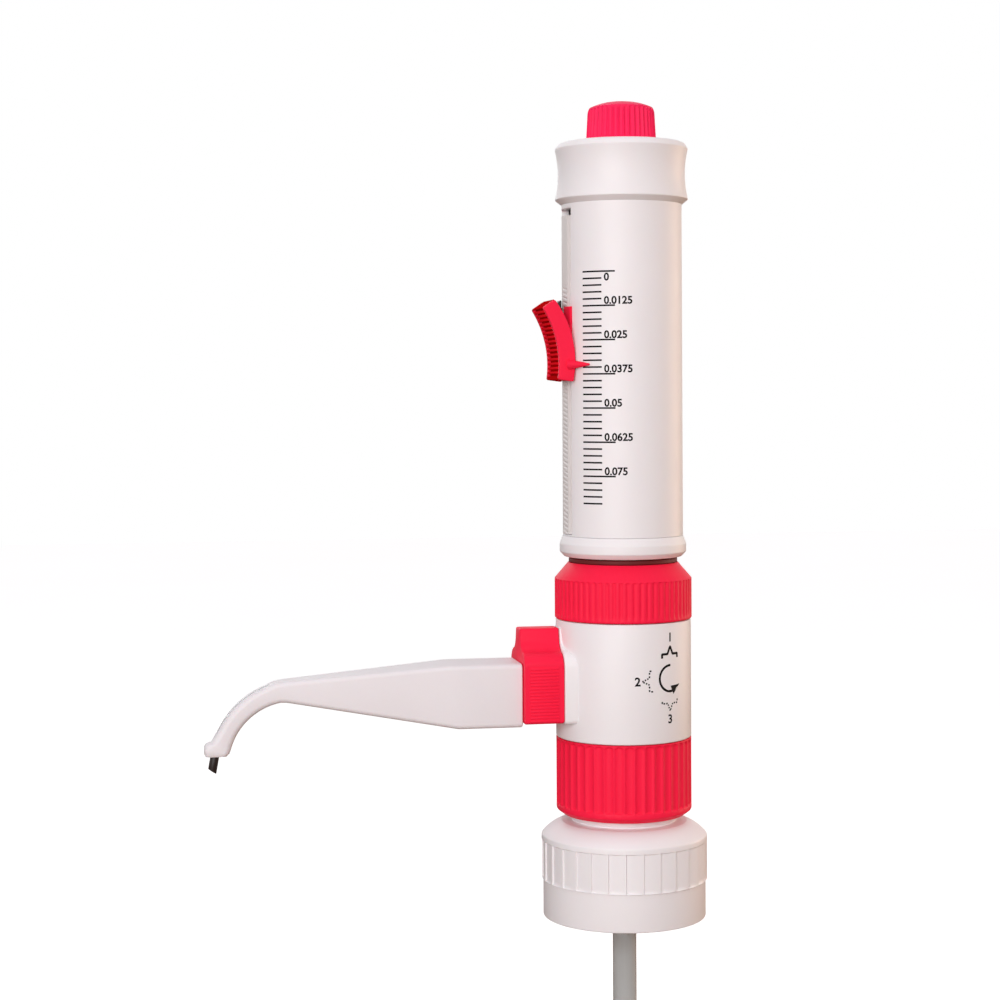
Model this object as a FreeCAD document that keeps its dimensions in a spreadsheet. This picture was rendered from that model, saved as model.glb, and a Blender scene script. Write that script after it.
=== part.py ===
import FreeCAD, Part
import os
import re
import Sketcher

# Bottle-top dispenser, 2.5 mL class, for a bottle with a 45 mm thread.
# Origin: centre of the adapter's rim, on the axis of its thread. +Z is up, the nozzle points along -X.
# Lengths are in millimetres and angles in degrees.

SIZES = {
    # clearances that several pieces share
    "fit_gap": 0.2,
    "running_gap": 0.05,
    "joint_gap": 0.3,
    # bottle adapter
    "thread_radius": 22.6,
    "thread_depth": 18.2,
    "skirt_radius": 26.3,
    "skirt_height": 12.1,
    "grip_band_radius": 27.0,
    "grip_band_height": 12.4,
    "grip_tooth_count": 30,
    "grip_tooth_step": 0.6,
    "grip_runout": 1.5,
    "dome_height": 6.1,
    "dome_top_radius": 20.3,
    "dome_bow": 1.7,
    "neck_collar_radius": 17.1,
    "neck_collar_height": 2.2,
    "neck_radius": 15.8,
    "neck_bore": 12.5,
    "neck_height": 15.2,
    "gasket_radius": 21.7,
    "gasket_thickness": 1.8,
    "neck_seal_thickness": 1.2,
    # mounting nut and the swivel flange that it holds
    "nut_radius": 21.9,
    "nut_chamfer_width": 2.2,
    "nut_chamfer_height": 1.6,
    "nut_lip_height": 3.6,
    "flute_count": 42,
    "flute_radius": 1.4,
    "flute_depth": 0.6,
    "flute_top_land": 0.9,
    "flute_foot_land": 2.8,
    "flange_radius": 18.0,
    "flange_height": 4.5,
    "swivel_radius": 14.0,
    # valve block
    "block_radius": 21.9,
    "block_height": 38.0,
    "spigot_radius": 18.7,
    "spigot_height": 7.3,
    "channel_radius": 2.2,
    "valve_height": 18.8,
    "boss_depth": 12.0,
    "boss_proud": 0.1,
    "boss_margin": 0.3,
    # inlet valve
    "cartridge_radius": 7.2,
    "inlet_ceiling": 10.8,
    "inlet_channel": 1.6,
    "inlet_chamber": 3.2,
    "inlet_ball_radius": 2.4,
    "ball_lift": 0.9,
    "cage_thickness": 1.4,
    "oring_section": 0.8,
    "oring_height": 4.5,
    "barb_radius": 3.0,
    "barb_length": 12.0,
    # tubes below the block
    "tube_wall": 0.8,
    "tube_grip": 9.0,
    "filling_tube_reach": 62.0,
    "telescope_gap": 0.08,
    "telescope_reach": 150.0,
    "telescope_overlap": 22.0,
    "return_radius": 1.7,
    "return_bore": 1.0,
    "return_offset": 10.5,
    "return_foot_height": 4.0,
    # recirculation valve and its knob
    "stem_radius": 4.8,
    "stem_start": 2.8,
    "stem_grip": 12.0,
    "stem_bore": 1.5,
    "discharge_seat": 10.0,
    "discharge_chamber": 3.2,
    "discharge_ball_radius": 2.2,
    "ball_stop_length": 9.0,
    "port_radius": 0.9,
    "rotor_radius": 8.95,
    "rotor_start": 8.2,
    "rotor_grip": 8.0,
    "knob_length": 12.75,
    "knob_half_width": 12.6,
    "knob_drop": 12.8,
    "knob_flank_height": 5.0,
    "knob_shoulder_half": 8.6,
    "knob_shoulder_height": 9.6,
    "knob_shoulder_bow": 1.0,
    "hump_root_half": 4.4,
    "hump_root_height": 13.2,
    "hump_root_bow": 0.8,
    "hump_top_half": 3.6,
    "hump_height": 16.8,
    "knob_rib_count": 17,
    "knob_rib_pitch": 1.03,
    "knob_rib_depth": 0.25,
    "knob_rib_margin": 1.6,
    # nozzle arm
    "arm_root_half": 9.75,
    "arm_neck_half": 5.0,
    "arm_foot_half": 4.2,
    "arm_root_rise": 6.2,
    "arm_root_drop": 14.0,
    "arm_top_flat": 23.0,
    "arm_bottom_flat": 14.5,
    "arm_length": 75.5,
    "arm_neck_rise": 1.9,
    "arm_neck_drop": 4.9,
    "spout_outer_bow": 4.1,
    "spout_inner_bow": 2.6,
    "spout_span": 21.9,
    "spout_drop": 16.5,
    "spout_width": 6.4,
    "foot_reach": 24.6,
    "foot_width": 7.2,
    "foot_height": 3.0,
    "foot_drop": 21.8,
    "tube_radius": 1.2,
    "tube_bore": 0.7,
    "tube_bend": 21.3,
    "tube_turn": 80.0,
    "slot_turn": 66.0,
    "tip_radius": 1.4,
    "tip_start": 2.2,
    "tip_length": 6.9,
    "tip_bevel": 1.2,
    # union nut, housing and bumper
    "union_radius": 22.2,
    "union_edge": 0.8,
    "union_neck_height": 8.4,
    "union_cone_height": 5.1,
    "union_top_radius": 17.8,
    "union_rib_count": 64,
    "union_rib_radius": 0.5,
    "union_rib_depth": 0.25,
    "union_rib_land": 1.4,
    "housing_radius": 16.0,
    "housing_wall": 2.0,
    "housing_flange_radius": 18.6,
    "housing_flange_height": 2.4,
    "housing_length": 118.7,
    "bumper_radius": 17.6,
    "bumper_height": 1.6,
    "stop_ring_width": 0.5,
    "stop_ring_height": 3.0,
    # glass cylinder and piston
    "cylinder_seat_height": 9.2,
    "cylinder_seal_thickness": 1.5,
    "glass_radius": 6.0,
    "glass_bore": 3.3,
    "glass_length": 92.0,
    "centring_height": 4.0,
    "centring_drop": 8.0,
    "piston_gap": 1.5,
    "piston_length": 8.0,
    "rod_radius": 2.4,
    "coupling_radius": 7.0,
    "coupling_height": 18.0,
    "coupling_floor": 9.0,
    "coupling_headroom": 1.5,
    "knob_stem_radius": 3.5,
    "knob_stem_length": 11.2,
    # sleeve
    "ring_height": 6.8,
    "ring_radius": 20.5,
    "ring_foot_radius": 19.0,
    "ring_foot_height": 1.6,
    "ring_land_height": 2.6,
    "register_radius": 18.3,
    "register_depth": 4.0,
    "sleeve_radius": 19.5,
    "sleeve_wall": 2.3,
    "sleeve_length": 107.0,
    "bush_height": 5.0,
    "slot_half_angle": 19.5,
    "slot_foot": 0.5,
    "slot_head": 1.6,
    # top collar and calibration knob
    "collar_height": 20.0,
    "collar_radius": 21.6,
    "collar_cone_height": 1.7,
    "collar_register": 3.2,
    "collar_waist": 1.0,
    "collar_rim_height": 2.0,
    "collar_bevel_radius": 20.7,
    "collar_bevel_height": 0.5,
    "collar_top_radius": 19.8,
    "collar_bore": 16.5,
    "collar_roof": 3.5,
    "cap_radius": 11.4,
    "cap_side_height": 9.3,
    "cap_shoulder_radius": 10.9,
    "cap_edge_radius": 10.3,
    "cap_edge_height": 2.0,
    "cap_crown_height": 2.0,
    "cap_crown_bow": 0.5,
    "cap_crown_flat": 1.5,
    "cap_groove_count": 40,
    "cap_groove_radius": 0.75,
    "cap_groove_depth": 0.6,
    "cap_groove_land": 0.8,
    # tooth rack
    "rack_gap": 0.15,
    "rack_floor_height": 0.85,
    "rack_half_angle": 13.5,
    "rack_recess": 0.05,
    "rack_head_gap": 1.8,
    "tooth_pitch": 1.473,
    "tooth_width": 0.7,
    "tooth_depth": 0.3,
    "tooth_reach": 5.0,
    "tooth_length": 5.7,
    "tooth_count": 55,
    # volume slider
    "scale_zero_drop": 22.4,
    "volume_setting": 29.3,
    "rail_near_angle": 14.5,
    "rail_far_angle": 18.3,
    "rail_height": 1.4,
    "cheek_near_angle": 9.5,
    "cheek_far_angle": 22.5,
    "cheek_lift": 1.2,
    "rail_rise": 18.5,
    "rail_drop": 4.8,
    "bridge_start": 3.7,
    "bridge_height": 10.3,
    "bridge_thickness": 0.5,
    "finger_height": 2.0,
    "finger_inset": 2.65,
    "lug_inner": 4.9,
    "lug_thickness": 1.8,
    "lug_half_height": 1.8,
    "lug_reach": 2.0,
    "lug_corner_width": 0.35,
    "lug_corner_height": 1.5,
    "pin_radius": 0.8,
    "pin_offset": 0.9,
    "pin_drop": 1.8,
    "pin_length": 19.2,
    "block_pad_thickness": 1.8,
    "block_pad_drop": 1.7,
    "block_pad_height": 6.9,
    "block_pad_near_angle": 8.0,
    "block_pad_far_angle": 20.0,
    # thumb lever
    "lever_width": 20.0,
    "lever_side_wall": 1.6,
    "lever_face_wall": 1.4,
    "lever_heel_inset": 1.3,
    "lever_heel_drop": 5.6,
    "lever_back_reach": 4.7,
    "lever_back_rise": 20.7,
    "lever_back_bow": 2.9,
    "lever_front_reach": 8.6,
    "lever_front_rise": 18.0,
    "lever_toe_reach": 3.7,
    "lever_toe_drop": 4.9,
    "lever_front_bow": 2.1,
    "lever_clearance": 0.6,
    "lever_press": 5.0,
    "lever_rib_count": 16,
    "lever_rib_depth": 0.7,
    "lever_rib_width": 0.75,
    "lever_rib_span": 37.0,
    "lever_rib_start": 6.6,
    "lever_rib_margin": 1.4,
    "pointer_radius": 1.25,
    "pointer_tip_radius": 0.25,
    "pointer_length": 7.4,
    "pointer_heading": 40.6,
    "pointer_root_x": 19.6,
    "pointer_root_y": 9.6,
}

# Heights along the main axis, each built on the one below it
GASKET_TOP = "(thread_depth + gasket_thickness)"
GRIP_TOP = "(skirt_height + grip_band_height)"
DOME_TOP = f"({GRIP_TOP} + dome_height)"
NECK_COLLAR_TOP = f"({DOME_TOP} + neck_collar_height)"
NUT_BASE = f"({NECK_COLLAR_TOP} + fit_gap)"
NECK_TOP = f"({NECK_COLLAR_TOP} + neck_height)"
NECK_SEAL_TOP = f"({NECK_TOP} + neck_seal_thickness)"
FLANGE_BASE = f"({NECK_SEAL_TOP} + fit_gap)"
FLANGE_TOP = f"({FLANGE_BASE} + flange_height)"
LIP_BASE = f"({FLANGE_TOP} + joint_gap)"
NUT_TOP = f"({LIP_BASE} + nut_lip_height)"
BLOCK_BASE = f"({NUT_TOP} + fit_gap)"
BLOCK_TOP = f"({BLOCK_BASE} + block_height)"
VALVE_AXIS = f"({BLOCK_BASE} + valve_height)"
INLET_TOP = f"({VALVE_AXIS} - inlet_ceiling)"
CARTRIDGE_BASE = f"({FLANGE_BASE} + fit_gap)"
CAGE_TOP = f"({INLET_TOP} - fit_gap)"
CAGE_BASE = f"({CAGE_TOP} - cage_thickness)"
INLET_BALL_RISE = "sqrt(inlet_ball_radius^2 - inlet_channel^2)"
INLET_BALL_LEVEL = f"({CAGE_BASE} - inlet_ball_radius - ball_lift - running_gap)"
INLET_SEAT = f"({INLET_BALL_LEVEL} - {INLET_BALL_RISE} - running_gap)"
CYLINDER_SEAT = f"({VALVE_AXIS} + cylinder_seat_height)"
GLASS_BASE = f"({CYLINDER_SEAT} + cylinder_seal_thickness)"
GLASS_TOP = f"({GLASS_BASE} + glass_length)"
PISTON_BASE = f"({GLASS_BASE} + piston_gap)"
PISTON_TOP = f"({PISTON_BASE} + piston_length)"
SPIGOT_TOP = f"({BLOCK_TOP} + spigot_height)"
HOUSING_FLANGE_TOP = f"({SPIGOT_TOP} + housing_flange_height)"
HOUSING_TOP = f"({SPIGOT_TOP} + housing_length)"
UNION_BASE = f"({BLOCK_TOP} + fit_gap)"
UNION_SHOULDER = f"({HOUSING_FLANGE_TOP} + fit_gap)"
UNION_TOP = f"({UNION_SHOULDER} + union_neck_height)"
UNION_CONE_BASE = f"({UNION_TOP} - union_cone_height)"
BUMPER_TOP = f"({UNION_TOP} + bumper_height)"
RING_BASE = f"({BUMPER_TOP} + joint_gap)"
RING_TOP = f"({RING_BASE} + ring_height)"
REGISTER_BASE = f"({RING_TOP} - register_depth)"
SLEEVE_TOP = f"({RING_TOP} + sleeve_length)"
REGISTER_TOP = f"({SLEEVE_TOP} + collar_register)"
COLLAR_TOP = f"({SLEEVE_TOP} + collar_height)"
COLLAR_ROOF = f"({COLLAR_TOP} - collar_roof)"
COUPLING_TOP = f"({COLLAR_ROOF} - coupling_headroom)"
COUPLING_BASE = f"({COUPLING_TOP} - coupling_height)"
CAP_BASE = f"({COLLAR_TOP} + fit_gap)"
SLOT_BASE = f"({RING_TOP} + slot_foot)"
SLOT_TOP = f"({SLEEVE_TOP} - slot_head)"
RACK_TOP = f"({SLOT_TOP} - rack_head_gap)"
SCALE_ZERO = f"({SLEEVE_TOP} - scale_zero_drop)"
INDEX = f"({SCALE_ZERO} - volume_setting)"
PIN_LEVEL = f"({INDEX} - pin_drop)"
PIN_X = "(0 - sleeve_radius - pin_offset)"

# Radii that follow from the pieces inside them
INLET_BORE = "(cartridge_radius + fit_gap)"
SLEEVE_BORE = "(sleeve_radius - sleeve_wall)"
HOUSING_BORE = "(housing_radius - housing_wall)"
FILLING_BORE = "(barb_radius + running_gap)"
TELESCOPE_RADIUS = f"({FILLING_BORE} - telescope_gap)"
RACK_RADIUS = "(sleeve_radius - rack_recess)"
RACK_FLOOR = f"({SLEEVE_BORE} + rack_gap)"
RAIL_BASE = f"({RACK_FLOOR} + rack_floor_height + rack_gap)"
RAIL_RADIUS = f"({RAIL_BASE} + rail_height)"
BRIDGE_RADIUS = f"({RAIL_RADIUS} + bridge_thickness)"

# Distances along the nozzle, measured outwards from the main axis
BOSS_FACE = "(block_radius + boss_proud)"
KNOB_BACK = f"({BOSS_FACE} + running_gap + running_gap)"
KNOB_FRONT = f"({KNOB_BACK} + knob_length)"
ARM_ROOT = f"({KNOB_FRONT} + running_gap + running_gap)"
STEM_END = f"({ARM_ROOT} + stem_grip)"
ROTOR_BORE = "(rotor_radius + running_gap)"
ROTOR_END = f"({KNOB_BACK} + rotor_grip)"
ARM_NECK = f"({ARM_ROOT} + arm_length)"
BEND_START = f"({ARM_NECK} - joint_gap)"
DISCHARGE_BALL_RISE = "sqrt(discharge_ball_radius^2 - stem_bore^2)"
DISCHARGE_BALL = f"(discharge_seat + {DISCHARGE_BALL_RISE} + running_gap)"
BALL_STOP = f"({DISCHARGE_BALL} + discharge_ball_radius + ball_lift + running_gap)"
BALL_STOP_END = f"({BALL_STOP} + ball_stop_length)"
BEND_END_REACH = f"({BEND_START} + tube_bend * sin(tube_turn))"
BEND_END_LEVEL = f"({VALVE_AXIS} - tube_bend * (1 - cos(tube_turn)))"

DOC = FreeCAD.newDocument("bottle_top_dispenser")
PIECES = {}


def fill_sheet():
    """Write every driving size to the sheet as text, with its alias."""
    sheet = DOC.addObject("Spreadsheet::Sheet", "Sizes")
    for row, (alias, number) in enumerate(SIZES.items(), start=1):
        sheet.set(f"A{row}", alias)
        sheet.set(f"B{row}", str(number))
        sheet.setAlias(f"B{row}", alias)
    DOC.recompute()
    return sheet


SHEET = fill_sheet()


def bound(text):
    """The expression with each size pointed at its cell of the sheet."""
    def point(word):
        return "Sizes." + word[0] if word[0] in SIZES else word[0]

    return re.sub(r"[a-z][a-z_]*", point, str(text))


def number(text):
    """The value that an expression of sizes has now."""
    return float(SHEET.evalExpression(str(text)))


def new_body(label):
    """A body for one sub-part; its label names its file."""
    body = DOC.addObject("PartDesign::Body", label)
    body.Label = label
    PIECES[label] = body
    return body


def keep(piece, label):
    """Record a primitive or boolean as one sub-part."""
    piece.Label = label
    PIECES[label] = piece
    return piece


def sketch_on(body, name, role, x="0", y="0", depth="0", tilt="0", tilt_axis=(0, 0, 1)):
    """A sketch on one of the body's own planes, moved and turned by sizes."""
    plane = next(item for item in body.Origin.OriginFeatures if item.Role == role)
    sketch = body.newObject("Sketcher::SketchObject", name)
    sketch.AttachmentSupport = (plane, [""])
    sketch.MapMode = "FlatFace"
    turned = FreeCAD.Rotation(FreeCAD.Vector(*tilt_axis), number(tilt))
    sketch.AttachmentOffset = FreeCAD.Placement(FreeCAD.Vector(), turned)
    for axis, text in (("x", x), ("y", y), ("z", depth)):
        if text != "0":
            sketch.setExpression(f"AttachmentOffset.Base.{axis}", bound(text))
    if tilt != "0":
        sketch.setExpression("AttachmentOffset.Rotation.Angle", bound(tilt))
    return sketch


def drive(sketch, kind, geometry, point, text, label):
    """One dimension of a sketch, bound to sizes."""
    if point is None:
        index = sketch.addConstraint(Sketcher.Constraint(kind, geometry, number(text)))
    else:
        index = sketch.addConstraint(Sketcher.Constraint(kind, geometry, point, number(text)))
    sketch.renameConstraint(index, label)
    sketch.setExpression(f".Constraints.{label}", bound(text))


def bow_radius(start, end, bow):
    """Radius of the arc between two corners that stands bow proud of its chord."""
    chord_squared = f"((({end[0]}) - ({start[0]}))^2 + (({end[1]}) - ({start[1]}))^2)"
    return f"(({chord_squared} / 4 + ({bow})^2) / (2 * abs({bow})))"


def arc_between(start, end, radius, bow):
    """The arc from start to end, and which of its ends is its own first and last point."""
    first = FreeCAD.Vector(*start, 0)
    last = FreeCAD.Vector(*end, 0)
    chord = last - first
    side = 1 if bow > 0 else -1
    to_centre = FreeCAD.Vector(-chord.y, chord.x, 0).normalize() * side * (radius - abs(bow))
    centre = (first + last) * 0.5 + to_centre
    circle = Part.Circle(centre, FreeCAD.Vector(0, 0, 1), radius)
    if side > 0:
        return Part.ArcOfCircle(circle, circle.parameter(first), circle.parameter(last)), (1, 2)
    return Part.ArcOfCircle(circle, circle.parameter(last), circle.parameter(first)), (2, 1)


def outline(sketch, corners):
    """A closed outline; a corner is (x, y), or (x, y, bow) where an arc runs to the next corner.

    A positive bow stands proud on the right of the way from corner to corner.
    """
    base = sketch.GeometryCount
    count = len(corners)
    places = [(number(corner[0]), number(corner[1])) for corner in corners]
    ends = []
    for index, corner in enumerate(corners):
        start = places[index]
        end = places[(index + 1) % count]
        if len(corner) == 2:
            line = Part.LineSegment(FreeCAD.Vector(*start, 0), FreeCAD.Vector(*end, 0))
            sketch.addGeometry(line, False)
            ends.append((1, 2))
        else:
            radius = bow_radius(corner, corners[(index + 1) % count], corner[2])
            arc, points = arc_between(start, end, number(radius), number(corner[2]))
            sketch.addGeometry(arc, False)
            ends.append(points)
    for index in range(count):
        following = (index + 1) % count
        joined = (base + index, ends[index][1], base + following, ends[following][0])
        sketch.addConstraint(Sketcher.Constraint("Coincident", *joined))
    for index, corner in enumerate(corners):
        edge = base + index
        drive(sketch, "DistanceX", edge, ends[index][0], corner[0], f"x{edge}")
        drive(sketch, "DistanceY", edge, ends[index][0], corner[1], f"y{edge}")
        if len(corner) == 3:
            radius = bow_radius(corner, corners[(index + 1) % count], corner[2])
            drive(sketch, "Radius", edge, None, radius, f"r{edge}")


def circle(sketch, x, y, radius):
    """A circle with its centre and radius bound to sizes."""
    edge = sketch.addGeometry(
        Part.Circle(FreeCAD.Vector(number(x), number(y), 0), FreeCAD.Vector(0, 0, 1), number(radius)), False)
    drive(sketch, "DistanceX", edge, 3, x, f"x{edge}")
    drive(sketch, "DistanceY", edge, 3, y, f"y{edge}")
    drive(sketch, "Radius", edge, None, radius, f"r{edge}")


def around(radius, angle):
    """Point at a radius, turned from the nozzle's side towards the front."""
    return f"(0 - {radius} * cos({angle}))", f"(0 - {radius} * sin({angle}))"


def sector(sketch, inner, outer, start, end):
    """Outline of a piece of a ring between two radii and two angles."""
    half = f"((({end}) - ({start})) / 2)"
    outline(sketch, [
        around(inner, start),
        (*around(outer, start), f"({outer} * (1 - cos({half})))"),
        around(outer, end),
        (*around(inner, end), f"(0 - {inner} * (1 - cos({half})))"),
    ])


def turned(label, corners, role="XZ_Plane", axis="V_Axis", **place):
    """A body turned about the main axis, or about another axis of its sketch."""
    body = new_body(label)
    profile = sketch_on(body, label + "_profile", role, **place)
    outline(profile, corners)
    turning = body.newObject("PartDesign::Revolution", label + "_turning")
    turning.Profile = profile
    turning.ReferenceAxis = (profile, [axis])
    turning.Angle = 360
    DOC.recompute()
    return body


def turned_on_valve_axis(label, corners):
    """A body turned about the nozzle's axis; corners are (distance outwards, radius)."""
    outward = [(f"(0 - ({reach}))", radius) for reach, radius in corners]
    return turned(label, outward, axis="H_Axis", y=VALVE_AXIS)


def pad(body, name, sketch, length, both_ways=False, backwards=False):
    """Extrude a sketch along its normal."""
    feature = body.newObject("PartDesign::Pad", name)
    feature.Profile = sketch
    feature.setExpression("Length", bound(length))
    feature.SideType = "Symmetric" if both_ways else "One side"
    feature.Reversed = backwards
    DOC.recompute()
    return feature


def cut(body, name, sketch, length=None, both_ways=False, forwards=False):
    """Cut a sketch out of the body against its normal, and make sure that it cuts."""
    before = body.Shape.Volume
    feature = body.newObject("PartDesign::Pocket", name)
    feature.Profile = sketch
    feature.SideType = "Symmetric" if both_ways else "One side"
    feature.Reversed = forwards
    if length is None:
        feature.Type = "ThroughAll"
    else:
        feature.setExpression("Length", bound(length))
    DOC.recompute()
    if body.Shape.Volume >= before:
        raise RuntimeError(f"{name} cuts nothing")
    return feature


def repeat_around(body, name, feature, sketch, count, span="360"):
    """Repeat a feature about the normal of a sketch, over the whole turn or a part of it."""
    pattern = body.newObject("PartDesign::PolarPattern", name)
    pattern.Originals = [feature]
    pattern.Axis = (sketch, ["N_Axis"])
    pattern.setExpression("Angle", bound(span))
    pattern.setExpression("Occurrences", bound(count))
    body.Tip = pattern
    DOC.recompute()


def repeat_up(body, name, feature, sketch, count, pitch):
    """Repeat a feature upwards along the vertical axis of a sketch."""
    pattern = body.newObject("PartDesign::LinearPattern", name)
    pattern.Originals = [feature]
    pattern.Direction = (sketch, ["V_Axis"])
    pattern.setExpression("Length", bound(f"{pitch} * ({count} - 1)"))
    pattern.setExpression("Occurrences", bound(count))
    body.Tip = pattern
    DOC.recompute()


def make_bottle_adapter():
    """Adapter from the bottle's thread to the dispenser's neck, with a saw-tooth grip band."""
    body = turned("bottle_adapter", [
        ("thread_radius", "0"),
        ("skirt_radius", "0"),
        ("skirt_radius", "skirt_height"),
        ("grip_band_radius", "skirt_height"),
        ("grip_band_radius", GRIP_TOP, "dome_bow"),
        ("dome_top_radius", DOME_TOP),
        ("neck_collar_radius", DOME_TOP),
        ("neck_collar_radius", NECK_COLLAR_TOP),
        ("neck_radius", NECK_COLLAR_TOP),
        ("neck_radius", NECK_TOP),
        ("neck_bore", NECK_TOP),
        ("neck_bore", GASKET_TOP),
        ("gasket_radius + fit_gap", GASKET_TOP),
        ("gasket_radius + fit_gap", "thread_depth"),
        ("thread_radius", "thread_depth"),
    ])
    pitch = "(360 / grip_tooth_count)"
    root = "(grip_band_radius - grip_tooth_step)"
    clear = "(grip_band_radius + grip_tooth_step)"
    tooth = sketch_on(body, "grip_tooth", "XY_Plane", depth=f"{GRIP_TOP} + grip_runout")
    outline(tooth, [
        ("grip_band_radius", "0"),
        (clear, "0"),
        (f"{clear} * cos({pitch})", f"{clear} * sin({pitch})"),
        (f"{root} * cos({pitch})", f"{root} * sin({pitch})"),
    ])
    flat = cut(body, "grip_flat", tooth, "grip_band_height + grip_runout")
    repeat_around(body, "grip_flats", flat, tooth, "grip_tooth_count")


def make_flat_ring(label, inner, outer, base, top):
    """A plain ring: a seal, a bumper or a bush."""
    turned(label, [(inner, base), (outer, base), (outer, top), (inner, top)])


def make_mounting_nut():
    """Fluted nut that screws on the adapter's neck and holds the block's swivel flange."""
    body = turned("mounting_nut", [
        ("neck_radius + fit_gap", NUT_BASE),
        ("nut_radius - nut_chamfer_width", NUT_BASE),
        ("nut_radius", f"{NUT_BASE} + nut_chamfer_height"),
        ("nut_radius", NUT_TOP),
        ("swivel_radius + joint_gap", NUT_TOP),
        ("swivel_radius + joint_gap", LIP_BASE),
        ("flange_radius + joint_gap", LIP_BASE),
        ("flange_radius + joint_gap", f"{FLANGE_BASE} - joint_gap"),
        ("neck_radius + fit_gap", f"{FLANGE_BASE} - joint_gap"),
    ])
    top = f"({NUT_TOP} - flute_top_land)"
    section = sketch_on(body, "flute_section", "XY_Plane", depth=top)
    circle(section, "nut_radius + flute_radius - flute_depth", "0", "flute_radius")
    flute = cut(body, "flute", section, f"{top} - {NUT_BASE} - flute_foot_land")
    repeat_around(body, "flutes", flute, section, "flute_count")


def knob_outline(margin):
    """Corners of the knob seen along the nozzle, widened by a margin."""
    right = [
        (f"(knob_half_width + {margin})", f"(0 - knob_drop - {margin})"),
        (f"(knob_half_width + {margin})", "knob_flank_height", "knob_shoulder_bow"),
        (f"(knob_shoulder_half + {margin})", f"(knob_shoulder_height + {margin})", "(0 - hump_root_bow)"),
        (f"(hump_root_half + {margin})", f"(hump_root_height + {margin})"),
        (f"(hump_top_half + {margin})", f"(hump_height + {margin})"),
    ]
    left = [
        (f"(0 - {right[4][0]})", right[4][1]),
        (f"(0 - {right[3][0]})", right[3][1], "(0 - hump_root_bow)"),
        (f"(0 - {right[2][0]})", right[2][1], "knob_shoulder_bow"),
        (f"(0 - {right[1][0]})", right[1][1]),
        (f"(0 - {right[0][0]})", right[0][1]),
    ]
    return right + left


def make_valve_block():
    """Block with the swivel flange, the boss behind the knob and the bores of both valves."""
    body = turned("valve_block", [
        (INLET_BORE, FLANGE_BASE),
        ("flange_radius", FLANGE_BASE),
        ("flange_radius", FLANGE_TOP),
        ("swivel_radius", FLANGE_TOP),
        ("swivel_radius", BLOCK_BASE),
        ("block_radius", BLOCK_BASE),
        ("block_radius", BLOCK_TOP),
        ("spigot_radius", BLOCK_TOP),
        ("spigot_radius", SPIGOT_TOP),
        ("glass_radius + joint_gap", SPIGOT_TOP),
        ("glass_radius + joint_gap", CYLINDER_SEAT),
        ("channel_radius", CYLINDER_SEAT),
        ("channel_radius", INLET_TOP),
        (INLET_BORE, INLET_TOP),
    ])
    face = sketch_on(body, "boss_face", "YZ_Plane", y=VALVE_AXIS, depth=f"0 - {BOSS_FACE}")
    outline(face, knob_outline("boss_margin"))
    pad(body, "boss", face, "boss_depth")
    bores = (
        ("rotor_bore", ROTOR_BORE, "rotor_start"),
        ("stem_socket", "stem_radius + running_gap", "stem_start"),
        ("discharge_channel", "stem_bore", "0"),
    )
    for name, radius, start in bores:
        mouth = sketch_on(body, name + "_mouth", "YZ_Plane", y=VALVE_AXIS, depth=f"0 - {start}")
        circle(mouth, "0", "0", radius)
        cut(body, name, mouth)
    returns = (
        ("return_socket", "return_radius + running_gap", INLET_TOP),
        ("return_channel", "return_bore", VALVE_AXIS),
    )
    for name, radius, top in returns:
        mouth = sketch_on(body, name + "_mouth", "XY_Plane", depth=FLANGE_BASE)
        circle(mouth, "0 - return_offset", "0", radius)
        cut(body, name, mouth, f"{top} - {FLANGE_BASE}", forwards=True)


def make_inlet_valve():
    """Cartridge with the filling tube's barb, its ball, its cage and its O-ring."""
    groove_low = f"({CARTRIDGE_BASE} + oring_height)"
    groove_high = f"({groove_low} + 2 * oring_section + fit_gap)"
    oring_radius = f"({INLET_BORE} - oring_section - running_gap)"
    groove_radius = f"({oring_radius} - oring_section - running_gap)"
    turned("inlet_valve_body", [
        ("inlet_channel", f"{CARTRIDGE_BASE} - barb_length"),
        ("barb_radius", f"{CARTRIDGE_BASE} - barb_length"),
        ("barb_radius", CARTRIDGE_BASE),
        ("cartridge_radius", CARTRIDGE_BASE),
        ("cartridge_radius", groove_low),
        (groove_radius, groove_low),
        (groove_radius, groove_high),
        ("cartridge_radius", groove_high),
        ("cartridge_radius", CAGE_BASE),
        ("inlet_chamber", CAGE_BASE),
        ("inlet_chamber", INLET_SEAT),
        ("inlet_channel", INLET_SEAT),
    ])
    make_flat_ring("inlet_cage", "inlet_channel", "cartridge_radius", CAGE_BASE, CAGE_TOP)
    ball = keep(DOC.addObject("Part::Sphere", "inlet_ball"), "inlet_ball")
    ball.setExpression("Radius", bound("inlet_ball_radius"))
    ball.setExpression("Placement.Base.z", bound(INLET_BALL_LEVEL))
    ring = keep(DOC.addObject("Part::Torus", "inlet_oring"), "inlet_oring")
    ring.setExpression("Radius1", bound(oring_radius))
    ring.setExpression("Radius2", bound("oring_section"))
    ring.setExpression("Placement.Base.z", bound(f"({groove_low} + {groove_high}) / 2"))


def make_tubes():
    """Filling tube, the telescopic tube inside it and the return tube beside them."""
    make_flat_ring("filling_tube", FILLING_BORE, f"({FILLING_BORE} + tube_wall)",
                   "(0 - filling_tube_reach)", f"({CARTRIDGE_BASE} - barb_length + tube_grip)")
    make_flat_ring("telescopic_tube", f"({TELESCOPE_RADIUS} - tube_wall)", TELESCOPE_RADIUS,
                   "(0 - telescope_reach)", "(telescope_overlap - filling_tube_reach)")
    body = new_body("return_tube")
    section = sketch_on(body, "return_tube_section", "XY_Plane", depth="return_foot_height")
    circle(section, "0 - return_offset", "0", "return_radius")
    circle(section, "0 - return_offset", "0", "return_bore")
    pad(body, "return_tube_length", section, f"{INLET_TOP} - running_gap - return_foot_height")


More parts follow.
